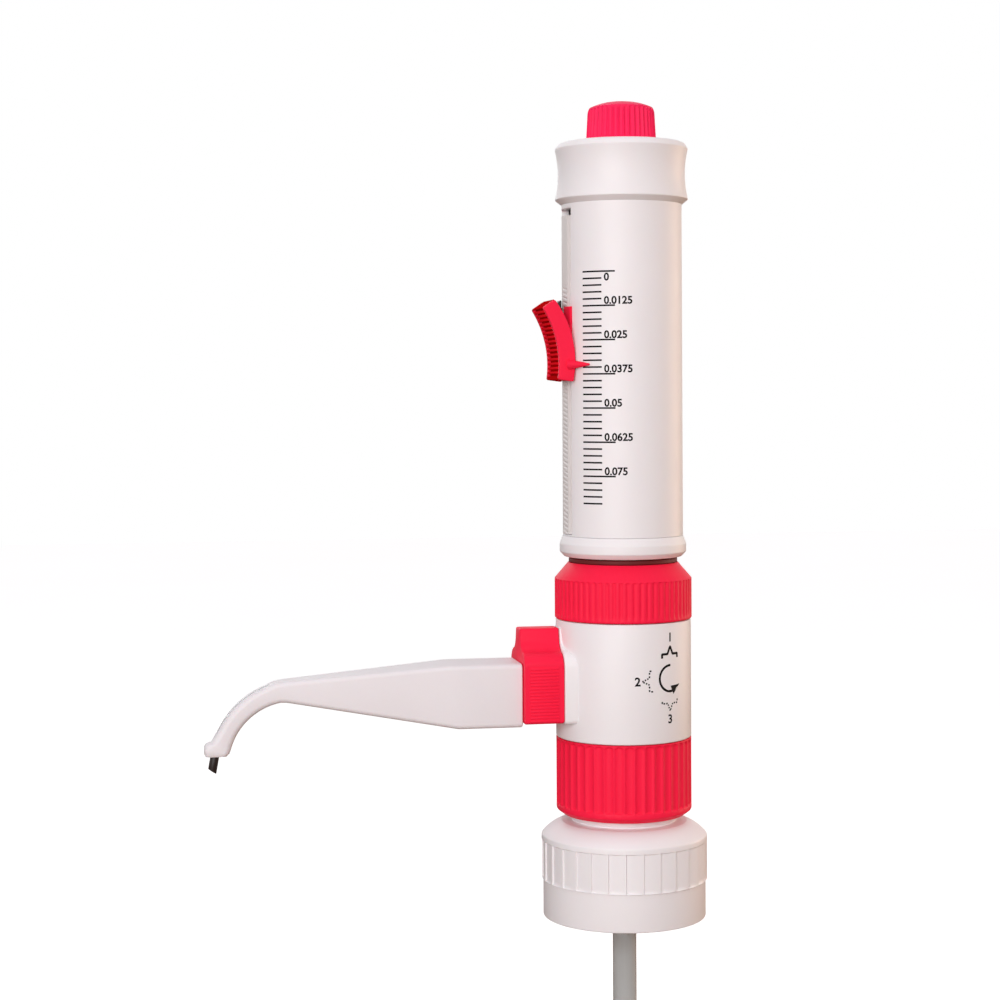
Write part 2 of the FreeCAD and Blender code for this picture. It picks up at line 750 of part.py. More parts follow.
def make_discharge_valve():
    """Hollow stem that carries the nozzle, with its ball and the tube that stops the ball."""
    stem = turned_on_valve_axis("discharge_stem", [
        ("stem_start", "stem_bore"),
        ("stem_start", "stem_radius"),
        (STEM_END, "stem_radius"),
        (STEM_END, "discharge_chamber"),
        ("discharge_seat", "discharge_chamber"),
        ("discharge_seat", "stem_bore"),
    ])
    port = sketch_on(stem, "stem_port_mouth", "XY_Plane", depth=VALVE_AXIS)
    circle(port, "0 - return_offset", "0", "port_radius")
    cut(stem, "stem_port", port)
    turned_on_valve_axis("ball_stop", [
        (BALL_STOP, "stem_bore"),
        (BALL_STOP, "discharge_chamber - running_gap"),
        (BALL_STOP_END, "discharge_chamber - running_gap"),
        (BALL_STOP_END, "stem_bore"),
    ])
    ball = keep(DOC.addObject("Part::Sphere", "discharge_ball"), "discharge_ball")
    ball.setExpression("Radius", bound("discharge_ball_radius"))
    ball.setExpression("Placement.Base.x", bound(f"0 - {DISCHARGE_BALL}"))
    ball.setExpression("Placement.Base.z", bound(VALVE_AXIS))


def make_recirculation_valve():
    """Rotor around the stem, and the knob with the hump that turns it."""
    rotor = turned_on_valve_axis("valve_rotor", [
        ("rotor_start + fit_gap", "stem_radius + running_gap"),
        ("rotor_start + fit_gap", "rotor_radius"),
        (ROTOR_END, "rotor_radius"),
        (ROTOR_END, "stem_radius + running_gap"),
    ])
    port = sketch_on(rotor, "rotor_port_mouth", "XY_Plane", depth=VALVE_AXIS)
    circle(port, "0 - return_offset", "0", "port_radius")
    cut(rotor, "rotor_port", port, forwards=True)

    knob = new_body("valve_knob")
    back = sketch_on(knob, "knob_back", "YZ_Plane", y=VALVE_AXIS, depth=f"0 - {KNOB_BACK}")
    outline(back, knob_outline("0"))
    pad(knob, "knob_block", back, "knob_length", backwards=True)
    bores = (
        ("rotor_seat", ROTOR_BORE, "rotor_grip + running_gap"),
        ("stem_passage", "stem_radius + joint_gap", "knob_length"),
    )
    for name, radius, depth in bores:
        mouth = sketch_on(knob, name + "_mouth", "YZ_Plane", y=VALVE_AXIS, depth=f"0 - {KNOB_BACK}")
        circle(mouth, "0", "0", radius)
        cut(knob, name, mouth, depth)
    rib_length = "(knob_length - 2 * knob_rib_margin)"
    for side, name in (("", "front"), ("0 - ", "rear")):
        notch = sketch_on(knob, f"{name}_notch", "YZ_Plane", y=VALVE_AXIS,
                          depth=f"0 - {KNOB_BACK} - knob_rib_margin")
        low = "(0 - knob_drop + knob_rib_margin)"
        outline(notch, [
            (f"{side}(knob_half_width + knob_rib_depth)", f"{low} - knob_rib_depth"),
            (f"{side}(knob_half_width - knob_rib_depth)", f"{low} + knob_rib_depth"),
            (f"{side}(knob_half_width + knob_rib_depth)", f"{low} + 3 * knob_rib_depth"),
        ])
        groove = cut(knob, f"{name}_groove", notch, rib_length)
        repeat_up(knob, f"{name}_grooves", groove, notch, "knob_rib_count", "knob_rib_pitch")


def tube_path(sketch, start):
    """Centre line of the discharge tube: straight, round the spout's bend and down to the tip."""
    straight_end = (f"(0 - {BEND_START})", VALVE_AXIS)
    bend_end = (f"(0 - {BEND_END_REACH})", BEND_END_LEVEL)
    tip_reach = f"(0 - {BEND_END_REACH} - tip_start * cos(tube_turn))"
    tip = (tip_reach, f"({BEND_END_LEVEL} - tip_start * sin(tube_turn))")
    points = [(f"(0 - {start})", VALVE_AXIS), straight_end, bend_end, tip]
    places = [FreeCAD.Vector(number(x), number(y), 0) for x, y in points]
    bow = "(tube_bend * (1 - cos(tube_turn / 2)))"
    bend, (bend_first, bend_last) = arc_between(
        tuple(places[1])[:2], tuple(places[2])[:2], number("tube_bend"), number(bow))
    sketch.addGeometry(Part.LineSegment(places[0], places[1]), False)
    sketch.addGeometry(bend, False)
    sketch.addGeometry(Part.LineSegment(places[2], places[3]), False)
    sketch.addConstraint(Sketcher.Constraint("Coincident", 0, 2, 1, bend_first))
    sketch.addConstraint(Sketcher.Constraint("Coincident", 1, bend_last, 2, 1))
    corners = ((0, 1), (0, 2), (1, bend_last), (2, 2))
    for index, (edge, point) in enumerate(corners):
        drive(sketch, "DistanceX", edge, point, points[index][0], f"x{index}")
        drive(sketch, "DistanceY", edge, point, points[index][1], f"y{index}")
    drive(sketch, "Radius", 1, None, "tube_bend", "bend")


def sweep(body, name, kind, start, radius):
    """Sweep a round section along the discharge tube's centre line."""
    path = sketch_on(body, name + "_path", "XZ_Plane")
    tube_path(path, start)
    section = sketch_on(body, name + "_section", "YZ_Plane", y=VALVE_AXIS, depth=f"0 - {start}")
    circle(section, "0", "0", radius)
    DOC.recompute()
    pipe = body.newObject(kind, name)
    pipe.Profile = section
    pipe.Spine = (path, ["Edge1", "Edge2", "Edge3"])
    DOC.recompute()


def make_discharge_tube():
    """Fine tube from the ball stop to the tip."""
    body = new_body("discharge_tube")
    start = f"({BALL_STOP_END} + running_gap)"
    sweep(body, "tube_wall_sweep", "PartDesign::AdditivePipe", start, "tube_radius")
    sweep(body, "tube_bore_sweep", "PartDesign::SubtractivePipe", start, "tube_bore")


def make_nozzle_arm():
    """Tapered arm with the curved spout, open along the top of the bend."""
    body = new_body("nozzle_arm")
    side = sketch_on(body, "arm_side", "XZ_Plane", y=VALVE_AXIS)
    foot_out = f"(0 - {ARM_NECK} - foot_reach)"
    foot_in = f"({foot_out} + foot_width)"
    outline(side, [
        (f"(0 - {ARM_ROOT})", "(0 - arm_root_drop)"),
        (f"(0 - {ARM_ROOT})", "arm_root_rise"),
        (f"(0 - {ARM_ROOT} - arm_top_flat)", "arm_root_rise"),
        (f"(0 - {ARM_NECK})", "arm_neck_rise", "spout_outer_bow"),
        (f"(0 - {ARM_NECK} - spout_span)", "(0 - spout_drop)"),
        (foot_out, "(foot_height - foot_drop)"),
        (foot_out, "(0 - foot_drop)"),
        (foot_in, "(0 - foot_drop)"),
        (f"(0 - {ARM_NECK} - spout_span + spout_width)", "(0 - spout_drop)", "(0 - spout_inner_bow)"),
        (f"(0 - {ARM_NECK})", "(0 - arm_neck_drop)"),
        (f"(0 - {ARM_ROOT} - arm_bottom_flat)", "(0 - arm_root_drop)"),
    ])
    pad(body, "arm_blank", side, "2 * arm_root_half", both_ways=True)
    plan = sketch_on(body, "arm_plan", "XY_Plane", depth=f"{VALVE_AXIS} + arm_root_rise + fit_gap")
    for sign in ("", "0 - "):
        outline(plan, [
            (f"(0 - {ARM_ROOT} - arm_bottom_flat)", f"{sign}arm_root_half"),
            (f"(0 - {ARM_NECK})", f"{sign}arm_neck_half"),
            (foot_out, f"{sign}arm_foot_half"),
            (f"({foot_out} - fit_gap)", f"{sign}arm_foot_half"),
            (f"({foot_out} - fit_gap)", f"{sign}(arm_root_half + fit_gap)"),
            (f"(0 - {ARM_ROOT} - arm_bottom_flat)", f"{sign}(arm_root_half + fit_gap)"),
        ])
    cut(body, "arm_taper", plan)
    socket = sketch_on(body, "stem_hole_mouth", "YZ_Plane", y=VALVE_AXIS, depth=f"0 - {ARM_ROOT}")
    circle(socket, "0", "0", "stem_radius + running_gap")
    cut(body, "stem_hole", socket, "stem_grip + running_gap")
    sweep(body, "tube_passage", "PartDesign::SubtractivePipe", STEM_END, "tube_radius + running_gap")
    slot_reach = f"({BEND_START} + tube_bend * sin(slot_turn))"
    slot_level = "(0 - tube_bend * (1 - cos(slot_turn)))"
    slot = sketch_on(body, "spout_slot_side", "XZ_Plane", y=VALVE_AXIS)
    outline(slot, [
        (f"(0 - {BEND_START})", "0", "(tube_bend * (1 - cos(slot_turn / 2)))"),
        (f"(0 - {slot_reach})", slot_level),
        (f"(0 - {slot_reach} - spout_width)", slot_level),
        (f"(0 - {slot_reach} - spout_width)", "spout_width"),
        (f"(0 - {BEND_START})", "spout_width"),
    ])
    cut(body, "spout_slot", slot, "2 * (tube_radius + running_gap)", both_ways=True)
    hole = sketch_on(body, "tip_hole_mouth", "XZ_Plane", x=f"0 - {BEND_END_REACH}", y=BEND_END_LEVEL,
                     tilt="tube_turn - 90")
    outline(hole, [
        ("0", "0 - tip_start - tip_length"),
        ("tip_radius + running_gap", "0 - tip_start - tip_length"),
        ("tip_radius + running_gap", "0 - tip_start"),
        ("0", "0 - tip_start"),
    ])
    drill = body.newObject("PartDesign::Groove", "tip_hole")
    drill.Profile = hole
    drill.ReferenceAxis = (hole, ["V_Axis"])
    drill.Angle = 360
    DOC.recompute()


def make_nozzle_tip():
    """Dark tip with a slanted end, in line with the end of the discharge tube."""
    place = dict(x=f"0 - {BEND_END_REACH}", y=BEND_END_LEVEL, tilt="tube_turn - 90")
    body = turned("nozzle_tip", [
        ("tube_bore", "0 - tip_start - tip_length"),
        ("tip_radius", "0 - tip_start - tip_length"),
        ("tip_radius", "0 - tip_start - running_gap"),
        ("tube_bore", "0 - tip_start - running_gap"),
    ], **place)
    bevel = sketch_on(body, "tip_bevel_side", "XZ_Plane", **place)
    outline(bevel, [
        ("0 - tip_radius - running_gap", "0 - tip_start - tip_length - running_gap"),
        ("tip_radius + running_gap", "0 - tip_start - tip_length - running_gap"),
        ("0 - tip_radius - running_gap", "0 - tip_start - tip_length + tip_bevel"),
    ])
    cut(body, "tip_bevel_cut", bevel, both_ways=True)


def make_union_nut():
    """Ribbed nut with a cone on top that clamps the housing's flange to the block."""
    body = turned("union_nut", [
        ("spigot_radius + fit_gap", UNION_BASE),
        ("union_radius - union_edge", UNION_BASE, "union_edge * 0.2"),
        ("union_radius", f"{UNION_BASE} + union_edge"),
        ("union_radius", UNION_CONE_BASE),
        ("union_top_radius", UNION_TOP),
        ("housing_radius + fit_gap", UNION_TOP),
        ("housing_radius + fit_gap", UNION_SHOULDER),
        ("spigot_radius + fit_gap", UNION_SHOULDER),
    ])
    section = sketch_on(body, "union_groove_section", "XY_Plane", depth=UNION_CONE_BASE)
    circle(section, "union_radius + union_rib_radius - union_rib_depth", "0", "union_rib_radius")
    groove = cut(body, "union_groove", section, f"{UNION_CONE_BASE} - {UNION_BASE} - union_rib_land")
    repeat_around(body, "union_grooves", groove, section, "union_rib_count")


def make_housing():
    """Fixed guard tube that the sleeve runs on, its stop ring and the bumper under the sleeve."""
    turned("cylinder_housing", [
        (HOUSING_BORE, SPIGOT_TOP),
        ("housing_flange_radius", SPIGOT_TOP),
        ("housing_flange_radius", HOUSING_FLANGE_TOP),
        ("housing_radius", HOUSING_FLANGE_TOP),
        ("housing_radius", HOUSING_TOP),
        (HOUSING_BORE, HOUSING_TOP),
    ])
    make_flat_ring("bumper_ring", "(housing_radius + fit_gap)", "bumper_radius", UNION_TOP, BUMPER_TOP)
    stop_base = f"({SCALE_ZERO} + joint_gap)"
    make_flat_ring("stroke_stop_ring", "(housing_radius + running_gap)", "(housing_radius + stop_ring_width)",
                   stop_base, f"({stop_base} + stop_ring_height)")


def make_cylinder():
    """Glass cylinder with its seal below and the ring that centres it in the housing."""
    make_flat_ring("glass_cylinder", "glass_bore", "glass_radius", GLASS_BASE, GLASS_TOP)
    make_flat_ring("cylinder_seal", "glass_bore", "glass_radius", CYLINDER_SEAT, GLASS_BASE)
    base = f"({GLASS_TOP} - centring_drop)"
    make_flat_ring("centring_ring", "(glass_radius + running_gap)", f"({HOUSING_BORE} - running_gap)",
                   base, f"({base} + centring_height)")


def make_piston():
    """Piston head, its rod and the coupling that the calibration knob's stem screws into."""
    turned("piston_head", [
        ("0", PISTON_BASE),
        ("glass_bore - running_gap", PISTON_BASE),
        ("glass_bore - running_gap", PISTON_TOP),
        ("0", PISTON_TOP),
    ])
    turned("piston_rod", [
        ("0", PISTON_TOP),
        ("rod_radius", PISTON_TOP),
        ("rod_radius", COUPLING_BASE),
        ("0", COUPLING_BASE),
    ])
    turned("rod_coupling", [
        ("0", COUPLING_BASE),
        ("coupling_radius", COUPLING_BASE),
        ("coupling_radius", COUPLING_TOP),
        ("knob_stem_radius + running_gap", COUPLING_TOP),
        ("knob_stem_radius + running_gap", f"{COUPLING_BASE} + coupling_floor"),
        ("0", f"{COUPLING_BASE} + coupling_floor"),
    ])


def make_sleeve():
    """Outer sleeve with its slot, and the ring and bush at its foot."""
    body = turned("outer_sleeve", [
        (SLEEVE_BORE, f"{REGISTER_BASE} + running_gap"),
        ("register_radius", f"{REGISTER_BASE} + running_gap"),
        ("register_radius", RING_TOP),
        ("sleeve_radius", RING_TOP),
        ("sleeve_radius", SLEEVE_TOP),
        ("register_radius", SLEEVE_TOP),
        ("register_radius", REGISTER_TOP),
        (SLEEVE_BORE, REGISTER_TOP),
    ])
    wedge = sketch_on(body, "slot_wedge", "XY_Plane", depth=SLOT_TOP)
    reach = "(2 * sleeve_radius)"
    outline(wedge, [
        ("0", "0"),
        around(reach, "0 - slot_half_angle"),
        around(reach, "slot_half_angle"),
    ])
    cut(body, "slot", wedge, f"{SLOT_TOP} - {SLOT_BASE}")

    turned("sleeve_base_ring", [
        ("housing_radius + joint_gap", RING_BASE),
        ("ring_foot_radius", RING_BASE, "ring_foot_height * 0.2"),
        ("ring_radius", f"{RING_BASE} + ring_foot_height"),
        ("ring_radius", f"{RING_BASE} + ring_foot_height + ring_land_height"),
        ("sleeve_radius", RING_TOP),
        ("register_radius + running_gap", RING_TOP),
        ("register_radius + running_gap", REGISTER_BASE),
        ("housing_radius + joint_gap", REGISTER_BASE),
    ])
    make_flat_ring("guide_bush", "(housing_radius + telescope_gap)", f"({SLEEVE_BORE} - running_gap)",
                   f"({REGISTER_BASE} + running_gap)", f"({REGISTER_BASE} + running_gap + bush_height)")


def make_handle_collar():
    """Waisted collar that closes the sleeve and is the grip for the fingers."""
    turned("handle_collar", [
        ("register_radius + running_gap", SLEEVE_TOP),
        ("sleeve_radius", SLEEVE_TOP),
        ("collar_radius", f"{SLEEVE_TOP} + collar_cone_height", "(0 - collar_waist)"),
        ("collar_radius", f"{COLLAR_TOP} - collar_rim_height"),
        ("collar_bevel_radius", f"{COLLAR_TOP} - collar_bevel_height"),
        ("collar_top_radius", COLLAR_TOP),
        ("knob_stem_radius + running_gap", COLLAR_TOP),
        ("knob_stem_radius + running_gap", COLLAR_ROOF),
        ("collar_bore", COLLAR_ROOF),
        ("collar_bore", f"{REGISTER_TOP} + running_gap"),
        ("register_radius + running_gap", f"{REGISTER_TOP} + running_gap"),
    ])


def make_calibration_knob():
    """Grooved knob on top, on the stem that moves the piston against the sleeve."""
    side_top = f"({CAP_BASE} + cap_side_height)"
    edge_top = f"({side_top} + cap_edge_height)"
    stem_base = f"({CAP_BASE} - knob_stem_length)"
    body = turned("calibration_knob", [
        ("0", stem_base),
        ("knob_stem_radius", stem_base),
        ("knob_stem_radius", CAP_BASE),
        ("cap_radius", CAP_BASE),
        ("cap_shoulder_radius", side_top),
        ("cap_edge_radius", edge_top, "cap_crown_bow"),
        ("cap_crown_flat", f"({edge_top} + cap_crown_height)"),
        ("0", f"({edge_top} + cap_crown_height)"),
    ])
    section = sketch_on(body, "cap_groove_section", "XY_Plane", depth=side_top)
    circle(section, "cap_radius + cap_groove_radius - cap_groove_depth", "0", "cap_groove_radius")
    groove = cut(body, "cap_groove", section, "cap_side_height - cap_groove_land")
    repeat_around(body, "cap_grooves", groove, section, "cap_groove_count")


def make_tooth_rack():
    """Rack in the sleeve's slot: a floor with one open side, and a band of fine teeth."""
    body = new_body("tooth_rack")
    base = f"({SLOT_BASE} + rack_gap)"
    length = f"({RACK_TOP} - {base})"
    edge = "(slot_half_angle - rack_gap * 3)"
    floor_top = f"({RACK_FLOOR} + rack_floor_height)"
    floor = sketch_on(body, "rack_floor_section", "XY_Plane", depth=base)
    sector(floor, RACK_FLOOR, floor_top, "(0 - rack_half_angle)", edge)
    pad(body, "rack_floor", floor, length)
    band = sketch_on(body, "rack_band_section", "XY_Plane", depth=base)
    sector(band, f"({floor_top} - rack_gap)", RACK_RADIUS, "(0 - rack_half_angle)", "rack_half_angle")
    pad(body, "rack_band", band, length)
    notch = sketch_on(body, "tooth_notch", "XZ_Plane", depth="tooth_reach")
    low = f"({base} + tooth_pitch / 2)"
    outline(notch, [
        (f"(0 - {RACK_RADIUS} - tooth_depth)", low),
        (f"(0 - {RACK_RADIUS} + tooth_depth)", low),
        (f"(0 - {RACK_RADIUS} - tooth_depth)", f"({low} + 2 * tooth_width)"),
    ])
    tooth = cut(body, "tooth", notch, "tooth_length")
    repeat_up(body, "teeth", tooth, notch, "tooth_count", "tooth_pitch")


def make_slider_carriage():
    """Carriage in the slot: rails and cheeks, the bridge over the rack, two lugs and the stop finger."""
    body = new_body("slider_carriage")
    rail_base = f"({INDEX} - rail_drop)"
    bridge_base = f"({INDEX} + bridge_start)"
    rails = sketch_on(body, "rail_section", "XY_Plane", depth=rail_base)
    sector(rails, RAIL_BASE, RAIL_RADIUS, "rail_near_angle", "rail_far_angle")
    sector(rails, RAIL_BASE, RAIL_RADIUS, "(0 - rail_far_angle)", "(0 - rail_near_angle)")
    bridge = sketch_on(body, "bridge_section", "XY_Plane", depth=bridge_base)
    sector(bridge, f"({RAIL_RADIUS} - rack_gap)", BRIDGE_RADIUS, "(0 - rail_far_angle)", "rail_far_angle")
    pad(body, "bridge", bridge, "bridge_height")
    cheek_base = f"({rail_base} + cheek_lift)"
    cheek_root = f"({RAIL_RADIUS} - rack_gap)"
    near = sketch_on(body, "near_cheek_section", "XY_Plane", depth=cheek_base)
    sector(near, cheek_root, BRIDGE_RADIUS, "cheek_near_angle", "cheek_far_angle")
    pad(body, "near_cheek", near, "rail_rise + rail_drop - cheek_lift")
    far = sketch_on(body, "far_cheek_section", "XY_Plane", depth=cheek_base)
    sector(far, cheek_root, BRIDGE_RADIUS, "(0 - cheek_far_angle)", "(0 - cheek_near_angle)")
    pad(body, "far_cheek", far, "bridge_start + bridge_height + rail_drop - cheek_lift")
    pad(body, "rails", rails, "rail_rise + rail_drop")
    finger = sketch_on(body, "finger_section", "XY_Plane", depth=f"{INDEX} - finger_height")
    sector(finger, f"({RACK_RADIUS} - finger_inset)", f"({RAIL_BASE} + rack_gap)",
           "(0 - rail_far_angle)", "(0 - rail_near_angle)")
    pad(body, "stop_finger", finger, "finger_height")
    for name, face in (("front_lug", "lug_inner"), ("rear_lug", "(0 - lug_inner - lug_thickness)")):
        side = sketch_on(body, name + "_side", "XZ_Plane", depth=face)
        root = f"({PIN_X} + lug_reach)"
        tip = f"({PIN_X} - lug_reach * 0.5)"
        top = f"({PIN_LEVEL} + lug_half_height)"
        outline(side, [
            (tip, f"{PIN_LEVEL} - lug_half_height"),
            (root, f"{PIN_LEVEL} - lug_half_height"),
            (root, top),
            (f"{tip} + lug_corner_width", top),
            (tip, f"{top} - lug_corner_height"),
        ])
        pad(body, name, side, "lug_thickness")
    hole = sketch_on(body, "pin_hole_side", "XZ_Plane")
    circle(hole, PIN_X, PIN_LEVEL, "pin_radius + running_gap")
    cut(body, "pin_hole", hole, "lever_width", both_ways=True)


def make_spring_block():
    """Dark block on the carriage behind the top of the lever, on its far side."""
    body = new_body("spring_block")
    base = f"({INDEX} + bridge_start + bridge_height)"
    section = sketch_on(body, "spring_block_section", "XY_Plane", depth=base)
    inner = f"({RACK_RADIUS} + joint_gap)"
    sector(section, inner, f"({inner} + block_pad_thickness)",
           "(0 - block_pad_far_angle)", "(0 - block_pad_near_angle)")
    pad(body, "spring_block_height", section, "block_pad_height")
    slope = sketch_on(body, "spring_block_slope", "XZ_Plane")
    top = f"({base} + block_pad_height)"
    beyond = f"(0 - {inner} - 2 * block_pad_thickness)"
    outline(slope, [(f"(0 - {inner})", top), (beyond, top), (beyond, f"({top} - 2 * block_pad_drop)")])
    cut(body, "spring_block_top", slope, both_ways=True)


def make_lever_pin():
    """Pin of the thumb lever, across the slot."""
    body = new_body("lever_pin")
    section = sketch_on(body, "lever_pin_section", "XZ_Plane")
    circle(section, PIN_X, PIN_LEVEL, "pin_radius")
    pad(body, "lever_pin_length", section, "pin_length", both_ways=True)


def make_thumb_lever():
    """Hollow curved lever with cross ribs on its thumb face and the pointer on its side."""
    body = new_body("thumb_lever")
    toe = ("(0 - sleeve_radius - lever_toe_reach)", f"({INDEX} - lever_toe_drop)")
    heel = ("(0 - sleeve_radius + lever_heel_inset)", f"({INDEX} - lever_heel_drop)")
    back_top = ("(0 - sleeve_radius - lever_back_reach)", f"({INDEX} + lever_back_rise)")
    front_top = ("(0 - sleeve_radius - lever_front_reach)", f"({INDEX} + lever_front_rise)")
    side = sketch_on(body, "lever_side", "XZ_Plane")
    outline(side, [toe, (*heel, "lever_back_bow"), back_top, (*front_top, "(0 - lever_front_bow)")])
    pad(body, "lever_blank", side, "lever_width", both_ways=True)

    wall = "lever_face_wall"
    floor = f"({toe[1]} + {wall} * 0.6)"
    roof = f"({back_top[1]} - {wall})"
    open_side = "(0 - sleeve_radius / 2)"
    hollow = sketch_on(body, "lever_hollow_side", "XZ_Plane")
    outline(hollow, [
        (f"({toe[0]} + {wall})", floor),
        (open_side, floor),
        (open_side, roof),
        (f"({back_top[0]} + {wall} * 0.5)", roof),
        (f"({front_top[0]} + {wall})", f"({front_top[1]} - {wall} * 0.5)", "(0 - lever_front_bow)"),
    ])
    cut(body, "lever_hollow", hollow, "lever_width - 2 * lever_side_wall", both_ways=True)

    clear_radius = "(sleeve_radius + lever_clearance)"
    relief = sketch_on(body, "sleeve_relief_section", "XY_Plane", depth=f"{INDEX} + lever_front_rise * 2")
    circle(relief, "0", "0", clear_radius)
    cut(body, "sleeve_relief", relief)
    pressed = sketch_on(
        body, "pressed_relief_section", "XY_Plane",
        x=f"{PIN_X} * (1 - cos(lever_press))", depth=f"{PIN_LEVEL} - {PIN_X} * sin(lever_press)",
        tilt="0 - lever_press", tilt_axis=(0, 1, 0))
    circle(pressed, "0", "0", "(sleeve_radius + joint_gap)")
    cut(body, "pressed_relief", pressed, both_ways=True)

    hole = sketch_on(body, "lever_hole_side", "XZ_Plane")
    circle(hole, PIN_X, PIN_LEVEL, "pin_radius + running_gap")
    cut(body, "lever_hole", hole, "pin_length + fit_gap", both_ways=True)

    rise = f"({front_top[1]} - {toe[1]})"
    lean = f"({front_top[0]} - {toe[0]})"
    chord = f"sqrt({rise}^2 + {lean}^2)"
    radius = bow_radius(toe, front_top, "lever_front_bow")
    offset = f"(({radius} - lever_front_bow) / {chord})"
    centre_x = f"(({toe[0]} + {front_top[0]}) / 2 - {rise} * {offset})"
    centre_z = f"(({toe[1]} + {front_top[1]}) / 2 + {lean} * {offset})"
    rib = sketch_on(body, "lever_rib_side", "XZ_Plane", x=centre_x, y=centre_z, tilt="0 - lever_rib_start")
    outline(rib, [
        (f"({radius} - lever_rib_depth)", "0 - lever_rib_width / 2"),
        (f"({radius} + lever_rib_depth)", "0 - lever_rib_width / 2"),
        (f"({radius} + lever_rib_depth)", "lever_rib_width / 2"),
        (f"({radius} - lever_rib_depth)", "lever_rib_width / 2"),
    ])
    groove = cut(body, "lever_rib_groove", rib, "lever_width - 2 * lever_rib_margin", both_ways=True)
    repeat_around(body, "lever_rib_grooves", groove, rib, "lever_rib_count", "lever_rib_span")

    pointer = body.newObject("PartDesign::AdditiveCone", "pointer")
    pointer.setExpression("Radius1", bound("pointer_radius"))
    pointer.setExpression("Radius2", bound("pointer_tip_radius"))
    pointer.setExpression("Height", bound("pointer_length"))
    heading = FreeCAD.Rotation(FreeCAD.Vector(0, 0, 1), 0 - number("pointer_heading"))
    along_x = FreeCAD.Rotation(FreeCAD.Vector(0, 1, 0), 90)
    pointer.Placement = FreeCAD.Placement(FreeCAD.Vector(), heading * along_x)
    pointer.setExpression("Placement.Base.x", bound("0 - pointer_root_x"))
    pointer.setExpression("Placement.Base.y", bound("0 - pointer_root_y"))
    pointer.setExpression("Placement.Base.z", bound(INDEX))
    DOC.recompute()


def build():
    """Make every sub-part, from the bottle upwards."""
    make_bottle_adapter()
    make_flat_ring("adapter_gasket", "(neck_bore + fit_gap)", "gasket_radius", "thread_depth", GASKET_TOP)
    make_mounting_nut()
    make_flat_ring("neck_seal", "(neck_bore + fit_gap)", "(neck_radius - fit_gap)", NECK_TOP, NECK_SEAL_TOP)
    make_valve_block()
    make_inlet_valve()
    make_tubes()
    make_discharge_valve()
    make_recirculation_valve()
    make_nozzle_arm()
    make_discharge_tube()
    make_nozzle_tip()
    make_union_nut()
    make_housing()
    make_cylinder()
    make_piston()
    make_sleeve()
    make_handle_collar()
    make_calibration_knob()
    make_tooth_rack()
    make_slider_carriage()
    make_spring_block()
    make_lever_pin()
    make_thumb_lever()
    DOC.recompute()


def check():
    """Stop if any object failed or any sub-part isn't one valid solid."""
    for item in DOC.Objects:
        if "Invalid" in item.State or "Error" in item.State:
            raise RuntimeError(f"{item.Name} failed: {item.State}")
    for label, piece in PIECES.items():
        shape = piece.Shape
        if shape.isNull() or not shape.isValid():
            raise RuntimeError(f"{label} has no valid shape")
        if len(shape.Solids) != 1:
            raise RuntimeError(f"{label} has {len(shape.Solids)} solids")


def write():
    """Write one STEP file for each sub-part."""
    os.makedirs("parts", exist_ok=True)
    for label, piece in PIECES.items():
        piece.Shape.exportStep(f"parts/{label}.step")
        box = piece.Shape.BoundBox
        print(f"{label:20s} x {box.XMin:8.2f} {box.XMax:8.2f}  y {box.YMin:7.2f} {box.YMax:7.2f}"
              f"  z {box.ZMin:8.2f} {box.ZMax:8.2f}  volume {piece.Shape.Volume:10.1f}")


build()
check()
write()
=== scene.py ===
"""Bottle-top dispenser: the shapes and finishes of its visible pieces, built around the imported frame."""

import logging
import math
from collections.abc import Callable, Iterable, Sequence
from dataclasses import dataclass, field
from enum import Enum

import bmesh
import bpy
from mathutils import Matrix, Vector


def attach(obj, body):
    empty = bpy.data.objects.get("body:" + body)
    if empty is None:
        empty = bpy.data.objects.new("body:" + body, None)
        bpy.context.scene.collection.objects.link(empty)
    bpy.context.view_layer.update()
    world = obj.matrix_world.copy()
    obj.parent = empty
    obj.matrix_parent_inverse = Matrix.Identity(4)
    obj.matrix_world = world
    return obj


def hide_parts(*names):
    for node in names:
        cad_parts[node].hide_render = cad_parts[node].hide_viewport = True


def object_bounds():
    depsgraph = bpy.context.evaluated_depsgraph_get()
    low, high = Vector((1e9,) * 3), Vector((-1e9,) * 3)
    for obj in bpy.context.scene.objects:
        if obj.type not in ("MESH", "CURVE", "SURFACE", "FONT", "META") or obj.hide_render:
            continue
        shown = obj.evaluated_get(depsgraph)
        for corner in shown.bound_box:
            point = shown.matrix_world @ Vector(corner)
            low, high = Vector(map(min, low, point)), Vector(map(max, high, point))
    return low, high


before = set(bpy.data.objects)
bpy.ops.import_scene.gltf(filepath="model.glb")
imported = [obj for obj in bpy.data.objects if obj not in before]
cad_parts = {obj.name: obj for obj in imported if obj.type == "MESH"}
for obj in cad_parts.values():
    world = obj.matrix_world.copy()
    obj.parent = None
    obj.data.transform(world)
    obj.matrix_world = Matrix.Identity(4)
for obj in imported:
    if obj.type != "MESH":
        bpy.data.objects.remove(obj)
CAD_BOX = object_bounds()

LOG = logging.getLogger("dispenser")
MM = 0.001
Point = tuple[float, ...]


class Body(str, Enum):
    """Rigid bodies that the pieces ride on."""

    MOUNT = "bottle_mount"
    HEAD = "valve_head"
    KNOB = "recirculation_knob"
    SLEEVE = "sleeve"
    CALIBRATION = "calibration"
    SLIDER = "volume_slider"
    LEVER = "volume_lever"


